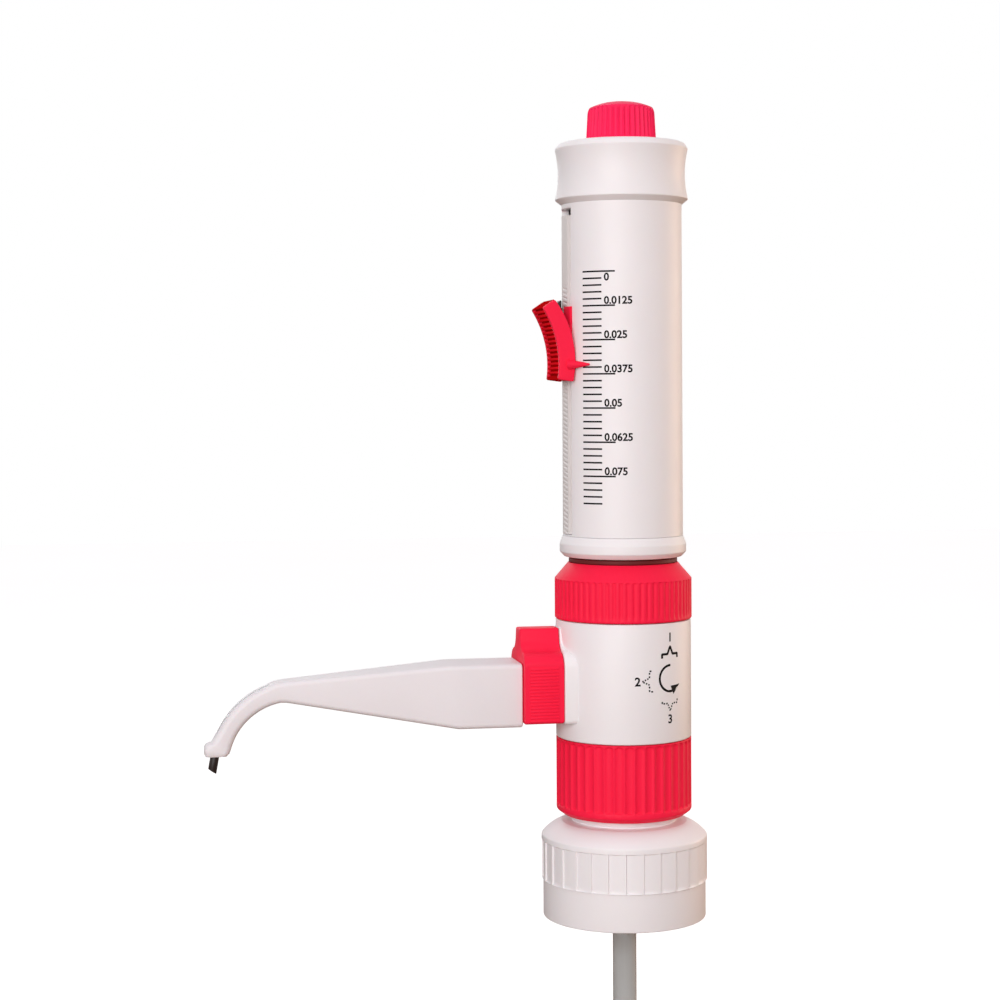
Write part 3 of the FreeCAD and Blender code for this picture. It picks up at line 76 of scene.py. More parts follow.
class Slot(str, Enum):
    """Material slots of the record."""

    WHITE = "white_plastic"
    RED = "red_plastic"
    RACK = "rack_plastic"
    HOUSING = "housing_plastic"
    FLUOROPOLYMER = "fluoropolymer"
    SEAL = "seal_plastic"
    CLEAR_TUBE = "clear_tube"
    DARK_RUBBER = "dark_rubber"
    DARK_PLASTIC = "dark_plastic"
    STEEL = "steel"
    CYLINDER_GLASS = "cylinder_glass"
    BALL_GLASS = "ball_glass"


def linear(red: int, green: int, blue: int) -> Point:
    """Turn a colour of 0 to 255, as it shows on a screen, into linear values.

    Args:
        red: Red part.
        green: Green part.
        blue: Blue part.

    Returns:
        Linear red, green, blue and an alpha of 1.
    """
    parts = [part / 255 for part in (red, green, blue)]
    return (*(p / 12.92 if p <= 0.04045 else ((p + 0.055) / 1.055) ** 2.4 for p in parts), 1.0)


class Socket:
    """An output of a shader tree; arithmetic on it adds Math nodes."""

    def __init__(self, graph: "ShaderGraph", socket: bpy.types.NodeSocket) -> None:
        """Wrap one socket of a graph."""
        self.graph = graph
        self.socket = socket

    def _math(self, operation: str, first: "Socket | float", second: "Socket | float") -> "Socket":
        """Add a Math node of two values."""
        return self.graph.node("ShaderNodeMath", {"operation": operation}, {0: first, 1: second})

    def __add__(self, other: "Socket | float") -> "Socket":
        """Add a value."""
        return self._math("ADD", self, other)

    def __sub__(self, other: "Socket | float") -> "Socket":
        """Take a value away."""
        return self._math("SUBTRACT", self, other)

    def __rsub__(self, other: float) -> "Socket":
        """Take this from a number."""
        return self._math("SUBTRACT", other, self)

    def __mul__(self, other: "Socket | float") -> "Socket":
        """Multiply by a value."""
        return self._math("MULTIPLY", self, other)

    __radd__ = __add__
    __rmul__ = __mul__


class ShaderGraph:
    """A node tree under construction."""

    def __init__(self, name: str) -> None:
        """Start an empty tree in a new material."""
        self.material = bpy.data.materials.new(name)
        self.material.use_nodes = True
        self.tree = self.material.node_tree
        self.tree.nodes.clear()

    @classmethod
    def of_tree(cls, tree: bpy.types.NodeTree) -> "ShaderGraph":
        """Start again in a tree that exists.

        Args:
            tree: The tree, which is emptied.

        Returns:
            The graph.
        """
        graph = cls.__new__(cls)
        graph.material = None
        graph.tree = tree
        tree.nodes.clear()
        return graph

    def node(self, kind: str, settings: dict | None = None, inputs: dict | None = None,
             output: int | str = 0) -> Socket | None:
        """Add a node.

        Args:
            kind: The node's type.
            settings: Properties that are set before its sockets.
            inputs: Numbers, colours or sockets for its inputs, by name or place.
            output: The output that is wrapped.

        Returns:
            That output, or nothing for a node that has none.
        """
        made = self.tree.nodes.new(kind)
        for key, value in (settings or {}).items():
            setattr(made, key, value)
        for key, value in (inputs or {}).items():
            if isinstance(value, Socket):
                self.tree.links.new(value.socket, made.inputs[key])
            else:
                made.inputs[key].default_value = value
        return Socket(self, made.outputs[output]) if len(made.outputs) else None

    def clamped(self, operation: str, first: Socket, second: "Socket | float") -> Socket:
        """Add a Math node of two values, kept between 0 and 1."""
        return self.node("ShaderNodeMath", {"operation": operation, "use_clamp": True}, {0: first, 1: second})

    def place(self) -> Socket:
        """Object coordinates, in metres."""
        return self.node("ShaderNodeTexCoord", output="Object")

    def noise(self, scale: float, detail: float = 2.0, stretch: Point = (1.0, 1.0, 1.0)) -> Socket:
        """Noise on object coordinates.

        Args:
            scale: Features to the metre.
            detail: Octaves.
            stretch: Factor on each axis.

        Returns:
            The noise, about 0.5 on average.
        """
        mapped = self.node("ShaderNodeMapping", inputs={"Vector": self.place(), "Scale": stretch})
        return self.node("ShaderNodeTexNoise", inputs={"Vector": mapped, "Scale": scale, "Detail": detail})

    def mix(self, share: "Socket | float", first: "Socket | Point", second: "Socket | Point") -> Socket:
        """Mix two colours by a share of the second."""
        return self.node("ShaderNodeMix", {"data_type": "RGBA"}, {0: share, 6: first, 7: second}, output=2)

    def bump(self, height: Socket, strength: float, depth: float) -> Socket:
        """Surface relief from a height, over a depth in metres."""
        inputs = {"Height": height, "Strength": strength, "Distance": depth}
        return self.node("ShaderNodeBump", inputs=inputs, output="Normal")

    def close(self, shader: Socket) -> bpy.types.Material:
        """Join a shader to the output.

        Args:
            shader: The finished shader.

        Returns:
            The material.
        """
        self.node("ShaderNodeOutputMaterial", inputs={"Surface": shader})
        return self.material


@dataclass(frozen=True)
class Moulded:
    """Moulded plastic or rubber: an even colour with faint clouds, a fine grain and uneven gloss."""

    name: str
    slot: Slot
    colour: Point
    cloud: Point
    roughness: float = 0.36
    gloss_spread: float = 0.10
    grain: float = 0.10
    grain_depth: float = 0.00004
    subsurface: float = 0.0
    shine: float = 0.35

    def material(self) -> bpy.types.Material:
        """Build the material.

        Returns:
            The material.
        """
        graph = ShaderGraph(self.name)
        clouds = graph.noise(55, 4)
        speckle = graph.noise(900, 2)
        grain = graph.noise(4200, 3)
        orange_peel = graph.noise(420, 2)
        colour = graph.mix(clouds * 0.8 + speckle * 0.2, self.colour, self.cloud)
        rough = (graph.noise(140, 3) - 0.5) * (2 * self.gloss_spread) + self.roughness
        relief = graph.bump(grain * 0.55 + orange_peel * 0.45, self.grain, self.grain_depth)
        shader = graph.node("ShaderNodeBsdfPrincipled", inputs={
            "Base Color": colour, "Roughness": rough, "Normal": relief, "Subsurface Weight": self.subsurface,
            "Subsurface Scale": 0.0015, "Specular IOR Level": self.shine,
        })
        return graph.close(shader)


@dataclass(frozen=True)
class Clear:
    """Glass or clear tube with faint streaks along its length."""

    name: str
    slot: Slot
    colour: Point
    streak: Point
    roughness: float
    transmission: float
    refraction: float = 1.34

    def material(self) -> bpy.types.Material:
        """Build the material.

        Returns:
            The material.
        """
        graph = ShaderGraph(self.name)
        streaks = graph.noise(1400, 2, (1.0, 1.0, 0.03))
        colour = graph.mix(streaks, self.colour, self.streak)
        rough = graph.noise(260, 2) * 0.10 + (self.roughness - 0.05)
        relief = graph.bump(streaks, 0.08, 0.00003)
        shader = graph.node("ShaderNodeBsdfPrincipled", inputs={
            "Base Color": colour, "Roughness": rough, "Normal": relief, "IOR": self.refraction,
            "Transmission Weight": self.transmission,
        })
        return graph.close(shader)


@dataclass(frozen=True)
class Ground:
    """Ground steel with fine lines across its length."""

    name: str
    slot: Slot
    colour: Point
    line: Point

    def material(self) -> bpy.types.Material:
        """Build the material.

        Returns:
            The material.
        """
        graph = ShaderGraph(self.name)
        lines = graph.noise(900, 3, (0.05, 0.05, 6.0))
        shader = graph.node("ShaderNodeBsdfPrincipled", inputs={
            "Base Color": graph.mix(lines, self.colour, self.line), "Roughness": lines * 0.2 + 0.18,
            "Metallic": 1.0, "Normal": graph.bump(lines, 0.15, 0.00002),
        })
        return graph.close(shader)


WHITE = Moulded("white_plastic", Slot.WHITE, linear(239, 235, 237), linear(233, 228, 230),
                roughness=0.40, subsurface=0.04)
ARM_WHITE = Moulded("arm_plastic", Slot.WHITE, linear(232, 227, 230), linear(225, 219, 222),
                    roughness=0.48, subsurface=0.05)
RED = Moulded("red_plastic", Slot.RED, linear(252, 35, 74), linear(246, 29, 64),
              roughness=0.44, subsurface=0.03, shine=0.10)
# Pinker copy of the red for the top knob: painted cool light falling from above.
TOP_PAINTED_LIGHT_RED = Moulded("top_knob_painted_light", Slot.RED, linear(252, 42, 98), linear(246, 35, 86),
                  roughness=0.44, subsurface=0.03, shine=0.10)
# Deep red of the thumb face's floor between the ribs: painted shade of the grooves and of the face turned
# away from the light.
THUMB_PAINTED_SHADE_RED = Moulded("thumb_face_painted_shade", Slot.RED, linear(206, 14, 18), linear(188, 12, 15),
                    roughness=0.6, shine=0.0)
# Duller, darker red of the thumb ribs: painted shade of the face turned away from the light.
RIB_PAINTED_SHADE_RED = Moulded("thumb_rib_painted_shade", Slot.RED, linear(246, 26, 40), linear(236, 22, 34),
                  roughness=0.6, shine=0.0)
RACK = Moulded("rack_plastic", Slot.RACK, linear(228, 224, 223), linear(220, 214, 212), roughness=0.5)
HOUSING = Moulded("housing_plastic", Slot.HOUSING, linear(222, 219, 214), linear(214, 210, 204),
                  roughness=0.45)
FLUOROPOLYMER = Moulded("fluoropolymer", Slot.FLUOROPOLYMER, linear(240, 240, 238), linear(232, 232, 229),
                        roughness=0.5, subsurface=0.1)
SEAL = Moulded("seal_plastic", Slot.SEAL, linear(205, 201, 196), linear(196, 191, 185), roughness=0.6)
# Dark rubber with a maroon tint; the tint is a painted reflection of the red nuts in the shaded gap. Used for
# the bumper and for hidden rings.
DARK_RUBBER = Moulded("dark_rubber", Slot.DARK_RUBBER, linear(104, 20, 20), linear(84, 16, 16),
                      roughness=0.62, grain=0.25)
DARK_PLASTIC = Moulded("dark_plastic", Slot.DARK_PLASTIC, linear(42, 30, 28), linear(31, 22, 20),
                       roughness=0.4, grain=0.15)
INK = Moulded("print_ink", Slot.WHITE, linear(14, 12, 14), linear(24, 21, 22),
              roughness=0.6, grain=0.2, shine=0.1)
CLEAR_TUBE = Clear("clear_tube", Slot.CLEAR_TUBE, linear(240, 242, 242), linear(228, 231, 232),
                   roughness=0.18, transmission=0.7)
CYLINDER_GLASS = Clear("cylinder_glass", Slot.CYLINDER_GLASS, linear(244, 248, 248), linear(236, 243, 243),
                       roughness=0.08, transmission=1.0, refraction=1.47)
BALL_GLASS = Clear("ball_glass", Slot.BALL_GLASS, linear(240, 244, 246), linear(230, 236, 240),
                   roughness=0.08, transmission=0.9, refraction=1.5)
STEEL = Ground("steel", Slot.STEEL, linear(196, 196, 198), linear(168, 168, 171))


class Finishes:
    """Materials, made once each."""

    _made: dict[str, bpy.types.Material] = {}

    @classmethod
    def of(cls, finish: Moulded | Clear | Ground) -> bpy.types.Material:
        """Give the material of a finish, made when it is first asked for.

        Args:
            finish: The finish.

        Returns:
            Its material.
        """
        if finish.name not in cls._made:
            cls._made[finish.name] = finish.material()
        return cls._made[finish.name]


def rounded(corners: Sequence[Point], closed: bool = True, arc_points: int = 5) -> list[Vector]:
    """Round the corners of an outline.

    Args:
        corners: Corners as (u, v) or (u, v, radius).
        closed: Whether the last corner joins the first.
        arc_points: Steps in each rounded corner.

    Returns:
        Points of the rounded outline.
    """
    points: list[Vector] = []
    count = len(corners)
    for index, corner in enumerate(corners):
        here = Vector(corner[:2])
        radius = corner[2] if len(corner) > 2 else 0.0
        at_end = not closed and index in (0, count - 1)
        if radius <= 0 or at_end:
            points.append(here)
            continue
        back = Vector(corners[index - 1][:2]) - here
        ahead = Vector(corners[(index + 1) % count][:2]) - here
        half = back.angle(ahead) / 2
        if half > math.pi / 2 - 0.01:
            points.append(here)
            continue
        trim = min(radius / math.tan(half), 0.48 * back.length, 0.48 * ahead.length)
        radius = trim * math.tan(half)
        first = here + back.normalized() * trim
        last = here + ahead.normalized() * trim
        centre = here + (back.normalized() + ahead.normalized()).normalized() * (radius / math.sin(half))
        turn = (first - centre).angle_signed(last - centre)
        for step in range(arc_points + 1):
            offset = first - centre
            offset.rotate(Matrix.Rotation(-turn * step / arc_points, 2))
            points.append(centre + offset)
    return points


def bowed(start: Point, end: Point, bow: float, count: int = 12) -> list[Point]:
    """Points between two ends of an arc, without the ends.

    Args:
        start: First end.
        end: Last end.
        bow: How far the arc stands off its chord, to the right of the way.
        count: Steps.

    Returns:
        The points between.
    """
    first = Vector(start[:2])
    last = Vector(end[:2])
    chord = last - first
    right = Vector((chord.y, -chord.x)).normalized()
    radius = (chord.length ** 2 / 4 + bow ** 2) / (2 * abs(bow))
    side = 1 if bow > 0 else -1
    centre = (first + last) / 2 - right * side * (radius - abs(bow))
    sweep = 2 * math.asin(min(1.0, chord.length / (2 * radius)))
    points = []
    for step in range(1, count):
        offset = first - centre
        offset.rotate(Matrix.Rotation(side * sweep * step / count, 2))
        points.append(tuple(centre + offset))
    return points


def ramp(low: float, high: float, value: float) -> float:
    """Rise smoothly from 0 at low to 1 at high."""
    share = min(1.0, max(0.0, (value - low) / (high - low)))
    return share * share * (3 - 2 * share)


class Solid:
    """A mesh under construction, in millimetres."""

    def __init__(self, name: str) -> None:
        """Start an empty mesh with the name of its piece."""
        self.name = name
        self.bm = bmesh.new()

    def ring(self, points: Iterable[Sequence[float]]) -> list[bmesh.types.BMEdge]:
        """Add a closed ring of edges.

        Args:
            points: Points of the ring, in three dimensions.

        Returns:
            Its edges.
        """
        verts = [self.bm.verts.new(point) for point in points]
        return [self.bm.edges.new((verts[i - 1], verts[i])) for i in range(len(verts))]

    def turn(self, outline: Sequence[Sequence[float]], steps: int = 192) -> "Solid":
        """Turn a closed outline of (radius, height) about the main axis.

        Args:
            outline: Points of the closed outline.
            steps: Steps in the full turn.

        Returns:
            This solid.
        """
        edges = self.ring((point[0], 0.0, point[1]) for point in outline)
        verts = list(dict.fromkeys(vert for edge in edges for vert in edge.verts))
        bmesh.ops.spin(self.bm, geom=verts + edges, cent=(0, 0, 0), axis=(0, 0, 1), angle=2 * math.pi,
                       steps=steps, use_merge=True)
        return self

    def loft(self, rings: Sequence[Sequence[Sequence[float]]]) -> "Solid":
        """Join rings of equal length one after the other, and close both ends.

        Args:
            rings: Rings of points, in order.

        Returns:
            This solid.
        """
        loops = [self.ring(points) for points in rings]
        for first, second in zip(loops, loops[1:]):
            bmesh.ops.bridge_loops(self.bm, edges=first + second)
        bmesh.ops.contextual_create(self.bm, geom=loops[0])
        bmesh.ops.contextual_create(self.bm, geom=loops[-1])
        return self

    def block(self, outline: Sequence[Sequence[float]], place: Callable[[float, float, float], Point],
              low: float, high: float, bevel: float = 0.0, segments: int = 3) -> "Solid":
        """Extrude a closed outline between two depths and round its rims.

        Args:
            outline: Points of the outline.
            place: Gives the point in space of an outline point at a depth.
            low: First depth.
            high: Last depth.
            bevel: Width of the rounding on both rims.
            segments: Steps in that rounding.

        Returns:
            This solid.
        """
        edges = self.ring(place(point[0], point[1], low) for point in outline)
        floor = bmesh.ops.contextual_create(self.bm, geom=edges)["faces"]
        shift = Vector(place(0, 0, high)) - Vector(place(0, 0, low))
        raised = bmesh.ops.extrude_face_region(self.bm, geom=floor)["geom"]
        moved = [part for part in raised if isinstance(part, bmesh.types.BMVert)]
        bmesh.ops.translate(self.bm, vec=shift, verts=moved)
        if not any(face.is_valid and face in floor for face in self.bm.faces):
            bmesh.ops.contextual_create(self.bm, geom=edges)
        if bevel:
            rims = [e for e in self.bm.edges if any(len(f.verts) == len(outline) for f in e.link_faces)]
            self.soften(rims, bevel, segments)
        return self

    def bar(self, place: Matrix, bevel: float, segments: int) -> "Solid":
        """Add a box with rounded edges.

        Args:
            place: Its place, turn and size.
            bevel: Width of the rounding.
            segments: Steps in that rounding.

        Returns:
            This solid.
        """
        made = bmesh.ops.create_cube(self.bm, size=1.0, matrix=place)["verts"]
        self.soften(list(dict.fromkeys(edge for vert in made for edge in vert.link_edges)), bevel, segments)
        return self

    def soften(self, edges: Sequence[bmesh.types.BMEdge], width: float, segments: int) -> None:
        """Round edges.

        Args:
            edges: The edges.
            width: Width of the rounding.
            segments: Steps in it.
        """
        bmesh.ops.bevel(self.bm, geom=edges, offset=width, offset_type="OFFSET", segments=segments,
                        profile=0.5, affect="EDGES", clamp_overlap=True, material=-1)

    def face_out(self) -> None:
        """Turn the faces of an open upright sheet away from the main axis."""
        bmesh.ops.recalc_face_normals(self.bm, faces=self.bm.faces)
        sample = next(iter(self.bm.faces))
        if sample.normal.dot(sample.calc_center_median() * Vector((1, 1, 0))) < 0:
            bmesh.ops.reverse_faces(self.bm, faces=self.bm.faces)

    def move(self, change: Callable[[Vector], Sequence[float]]) -> "Solid":
        """Move every vertex.

        Args:
            change: Gives a vertex's new place.

        Returns:
            This solid.
        """
        for vert in self.bm.verts:
            vert.co = change(vert.co)
        return self

    def groove(self, count: int, depth: float, low: float, high: float, ease: float, inside: float,
               shape: Callable[[float], float], phase: float = 0.0, arch: float = 0.0) -> "Solid":
        """Cut grooves along the main axis into the outer wall.

        Args:
            count: Grooves around.
            depth: Depth of each.
            low: Where they begin.
            high: Where they end.
            ease: Length over which they run out.
            inside: Radius that a vertex must pass to move.
            shape: Gives the depth's share from the share of a pitch.
            phase: Share of a pitch by which they are turned.
            arch: How much lower a groove ends at its sides than in its middle.

        Returns:
            This solid.
        """
        def cut(co: Vector) -> Vector:
            """Sink one vertex into its groove.

            Args:
                co: Its place.

            Returns:
                Its new place.
            """
            radius = math.hypot(co.x, co.y)
            if radius < inside or not low < co.z < high:
                return co
            share = (math.atan2(co.y, co.x) / (2 * math.pi) * count + phase) % 1.0
            end = high - arch * (2 * share - 1) ** 2
            window = ramp(low, low + ease, co.z) * (1 - ramp(end - ease, end, co.z))
            smaller = (radius - depth * shape(share) * window) / radius
            return Vector((co.x * smaller, co.y * smaller, co.z))

        return self.move(cut)

    def finish(self, body: Body, finish: Moulded | Clear | Ground, replaces: Sequence[str] = (),
               sharp: float = 38.0) -> bpy.types.Object:
        """Close the mesh and make it a piece of the object.

        Args:
            body: Body that it rides on.
            finish: Its finish.
            replaces: CAD nodes that it stands for.
            sharp: Angle in degrees past which an edge stays sharp.

        Returns:
            The piece.
        """
        bmesh.ops.remove_doubles(self.bm, verts=self.bm.verts, dist=0.0005)
        bmesh.ops.recalc_face_normals(self.bm, faces=self.bm.faces)
        bmesh.ops.scale(self.bm, vec=(MM, MM, MM), verts=self.bm.verts)
        mesh = bpy.data.meshes.new(self.name)
        self.bm.to_mesh(mesh)
        self.bm.free()
        mesh.shade_smooth()
        mesh.set_sharp_from_angle(angle=math.radians(sharp))
        piece = bpy.data.objects.new(self.name, mesh)
        bpy.context.scene.collection.objects.link(piece)
        return settle(piece, body, finish, replaces)


def settle(piece: bpy.types.Object, body: Body, finish: Moulded | Clear | Ground,
           replaces: Sequence[str] = ()) -> bpy.types.Object:
    """Give a piece its material, body and slot.

    Args:
        piece: The piece.
        body: Body that it rides on.
        finish: Its finish.
        replaces: CAD nodes that it stands for.

    Returns:
        The piece.
    """
    piece.data.materials.clear()
    piece.data.materials.append(Finishes.of(finish))
    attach(piece, body.value)
    if replaces:
        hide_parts(*replaces)
    LOG.info("%s rides on %s with %s", piece.name, body.value, finish.name)
    return piece


def softened(node: str, name: str, width: float, angle: float = 30.0) -> Solid:
    """Copy a CAD node's solid and round its edges.

    Args:
        node: The CAD node.
        name: Name of the new piece.
        width: Width of the rounding, in millimetres.
        angle: Angle in degrees past which an edge is rounded.

    Returns:
        The rounded solid.
    """
    solid = Solid(name)
    solid.bm.from_mesh(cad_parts[node].data)
    bmesh.ops.scale(solid.bm, vec=(1 / MM,) * 3, verts=solid.bm.verts)
    bmesh.ops.remove_doubles(solid.bm, verts=solid.bm.verts, dist=0.002)
    bmesh.ops.dissolve_limit(solid.bm, angle_limit=math.radians(1), verts=solid.bm.verts,
                             edges=solid.bm.edges)
    limit = math.radians(angle)
    edges = [e for e in solid.bm.edges if len(e.link_faces) == 2 and e.calc_face_angle(0) > limit]
    solid.soften(edges, width, 2)
    return solid


def rows(low: float, high: float, radius: float, count: int) -> list[Point]:
    """Points of a straight wall, at even heights from low to high."""
    return [(radius, low + (high - low) * step / count) for step in range(count + 1)]


def valley(share: float) -> float:
    """Round-bottomed groove with a narrow land between grooves."""
    off = abs(share - 0.5) * 2
    return math.sqrt(max(0.0, 1 - (off / 0.84) ** 2)) if off < 0.84 else 0.0


def fine_valley(share: float) -> float:
    """Shallow groove with a land between grooves."""
    off = abs(share - 0.5) * 2
    return max(0.0, 1 - (off / 0.6) ** 2)


def saw(share: float) -> float:
    """Facet that rises along its width and steps down at its end."""
    return 1 - share


@dataclass
class BottleAdapter:
    """White adapter with a saw-tooth grip band and an inner thread."""

    thread_radius: float = 22.6
    thread_height: float = 18.2
    thread_pitch: float = 4.0
    thread_depth: float = 0.8
    thread_start: float = 1.0
    thread_stop: float = 0.5
    thread_run_out: float = 2.0
    thread_rows: int = 34
    skirt_radius: float = 26.3
    skirt_height: float = 12.1
    band_radius: float = 26.85
    band_top: float = 24.5
    dome_radius: float = 20.3
    dome_top: float = 30.6
    shoulder_radius: float = 26.78
    shoulder: float = 26.3
    dome_bow: float = 0.5
    collar_radius: float = 17.1
    collar_top: float = 32.8
    neck_radius: float = 15.8
    neck_bore: float = 12.5
    neck_top: float = 48.0
    gasket_radius: float = 21.9
    gasket_top: float = 20.0
    teeth: int = 30
    tooth_step: float = 0.5
    tooth_phase: float = 0.468
    tooth_steps: int = 24

    def build(self) -> None:
        """Turn the adapter, then work its grip band and its thread."""
        dome_start = (self.shoulder_radius, self.shoulder)
        dome_end = (self.dome_radius, self.dome_top)
        outline = [
            (self.thread_radius, 0.0, 0.3),
            (self.skirt_radius, 0.0, 0.4),
            (self.skirt_radius, self.skirt_height - 0.05),
            (self.band_radius, self.skirt_height, 0.12),
            *rows(self.skirt_height + 0.5, self.band_top - 0.5, self.band_radius, 12),
            *rows(self.band_top - 0.3, self.band_top + 0.3, self.band_radius, 5),
            (*dome_start, 0.9),
            *bowed(dome_start, dome_end, self.dome_bow, 14)[2:],
            (*dome_end, 0.2),
            (self.collar_radius - 0.1, self.dome_top + 0.1, 0.1),
            (self.collar_radius - 0.5, self.dome_top + 0.45, 0.1),
            (self.collar_radius, self.dome_top + 0.85, 0.3),
            (self.collar_radius, self.collar_top, 0.55),
            (self.neck_radius, self.collar_top),
            (self.neck_radius, self.neck_top, 0.3),
            (self.neck_bore, self.neck_top, 0.3),
            (self.neck_bore, self.gasket_top),
            (self.gasket_radius, self.gasket_top),
            (self.gasket_radius, self.thread_height),
            *rows(self.thread_height, 0.6, self.thread_radius, self.thread_rows),
        ]
        solid = Solid("bottle_adapter_shell").turn(rounded(outline), self.teeth * self.tooth_steps)
        solid.groove(self.teeth, self.tooth_step, self.skirt_height + 0.01, self.band_top + 0.2, 0.3,
                     self.dome_radius, saw, self.tooth_phase)
        solid.move(self.thread)
        solid.finish(Body.MOUNT, WHITE, ["bottle_adapter"])

    def thread(self, co: Vector) -> Vector:
        """Raise the thread's ridge from the inner wall.

        Args:
            co: A vertex's place.

        Returns:
            Its new place.
        """
        radius = math.hypot(co.x, co.y)
        stop = self.thread_height - self.thread_stop
        if abs(radius - self.thread_radius) > 0.02 or not self.thread_start < co.z < stop:
            return co
        share = (co.z / self.thread_pitch - math.atan2(co.y, co.x) / (2 * math.pi)) % 1.0
        ridge = max(0.0, 1 - (abs(share - 0.5) / 0.26) ** 2)
        fade = ramp(self.thread_start, self.thread_start + self.thread_run_out, co.z)
        fade *= 1 - ramp(stop - self.thread_run_out - 0.5, stop, co.z)
        smaller = (radius - self.thread_depth * ridge * fade) / radius
        return Vector((co.x * smaller, co.y * smaller, co.z))


@dataclass
class MountingNut:
    """Lower red nut with round flutes."""

    radius: float = 21.9
    bore: float = 16.0
    base: float = 33.0
    top: float = 57.8
    chamfer_width: float = 2.2
    chamfer_height: float = 1.6
    chamber_radius: float = 18.3
    chamber_base: float = 49.1
    lip_base: float = 54.2
    lip_radius: float = 14.3
    flutes: int = 42
    flute_depth: float = 0.55
    flute_end: float = 0.5
    flute_steps: int = 12
    foot_land: float = 3.1
    top_land: float = 0.25
    arch: float = 1.1

    def build(self) -> None:
        """Turn the nut and cut its flutes."""
        outline = [
            (self.bore, self.base, 0.3),
            (self.radius - self.chamfer_width, self.base, 0.6),
            (self.radius, self.base + self.chamfer_height, 1.1),
            *rows(self.base + self.foot_land, self.base + self.foot_land + 0.6, self.radius, 5),
            *rows(self.base + self.foot_land + 1.2, self.top - 2.4, self.radius, 12),
            *rows(self.top - 2.2, self.top - 0.25, self.radius, 14),
            (self.radius, self.top, 0.2),
            (self.lip_radius, self.top, 0.3),
            (self.lip_radius, self.lip_base),
            (self.chamber_radius, self.lip_base),
            (self.chamber_radius, self.chamber_base),
            (self.bore, self.chamber_base),
        ]
        solid = Solid("mounting_nut_shell").turn(rounded(outline), self.flutes * self.flute_steps)
        solid.groove(self.flutes, self.flute_depth, self.base + self.foot_land, self.top - self.top_land,
                     self.flute_end, self.chamber_radius + 1, valley, arch=self.arch)
        solid.finish(Body.MOUNT, RED, ["mounting_nut"])


@dataclass
class UnionNut:
    """Upper red nut with fine ribs and a cone on top."""

    radius: float = 22.2
    bore: float = 18.9
    base: float = 96.2
    cone_base: float = 109.2
    top_radius: float = 17.8
    top: float = 114.3
    lip_base: float = 105.9
    lip_radius: float = 16.2
    ribs: int = 64
    rib_depth: float = 0.32
    rib_steps: int = 10
    groove_end: float = 0.4
    rib_phase: float = 0.167
    arch: float = 0.7

    def build(self) -> None:
        """Turn the nut and cut the grooves between its ribs."""
        outline = [
            (self.bore, self.base, 0.2),
            (self.radius, self.base, 0.7),
            *rows(self.base + 1.2, self.cone_base - 2.0, self.radius, 12),
            *rows(self.cone_base - 1.8, self.cone_base - 0.2, self.radius, 10),
            (self.radius, self.cone_base, 0.8),
            (self.top_radius, self.top, 0.4),
            (self.lip_radius, self.top, 0.2),
            (self.lip_radius, self.lip_base),
            (self.bore, self.lip_base),
        ]
        solid = Solid("union_nut_shell").turn(rounded(outline), self.ribs * self.rib_steps)
        solid.groove(self.ribs, self.rib_depth, self.base + 1.0, self.cone_base + 0.1, self.groove_end,
                     self.bore + 1, fine_valley, self.rib_phase, self.arch)
        solid.finish(Body.HEAD, RED, ["union_nut"])


@dataclass
class KnobSection:
    """Outline of the valve knob, seen along the nozzle."""

    half_width: float = 12.6
    drop: float = 12.8
    flank_height: float = 5.0
    shoulder_half: float = 8.6
    shoulder_height: float = 9.6
    shoulder_bow: float = 1.0
    root_half: float = 4.4
    root_height: float = 13.2
    root_bow: float = 0.8
    top_half: float = 3.6
    top_height: float = 16.8
    corner: float = 1.6
    top_corner: float = 0.9
    axis_height: float = 76.8

    def place(self, across: float, up: float, out: float) -> Point:
        """Place a point of the outline.

        Args:
            across: Its distance from the nozzle's axis, sideways.
            up: Its height above that axis.
            out: Its distance from the main axis, along the nozzle.

        Returns:
            The point in the frame.
        """
        return (-out, across, self.axis_height + up)

    def outline(self, margin: float = 0.0) -> list[Vector]:
        """The outline, widened by a margin.

        Args:
            margin: How much wider it is.

        Returns:
            Its points as (across, up), from the lower right corner.
        """
        flank = (self.half_width + margin, self.flank_height)
        shoulder = (self.shoulder_half + margin, self.shoulder_height + margin)
        root = (self.root_half + margin, self.root_height + margin)
        right = [
            (self.half_width + margin, -self.drop - margin, self.corner),
            flank,
            *bowed(flank, shoulder, self.shoulder_bow, 8),
            shoulder,
            *bowed(shoulder, root, -self.root_bow, 8),
            root,
            (self.top_half + margin, self.top_height + margin, self.top_corner),
        ]
        left = [(-point[0], *point[1:]) for point in reversed(right)]
        return rounded(right + left)


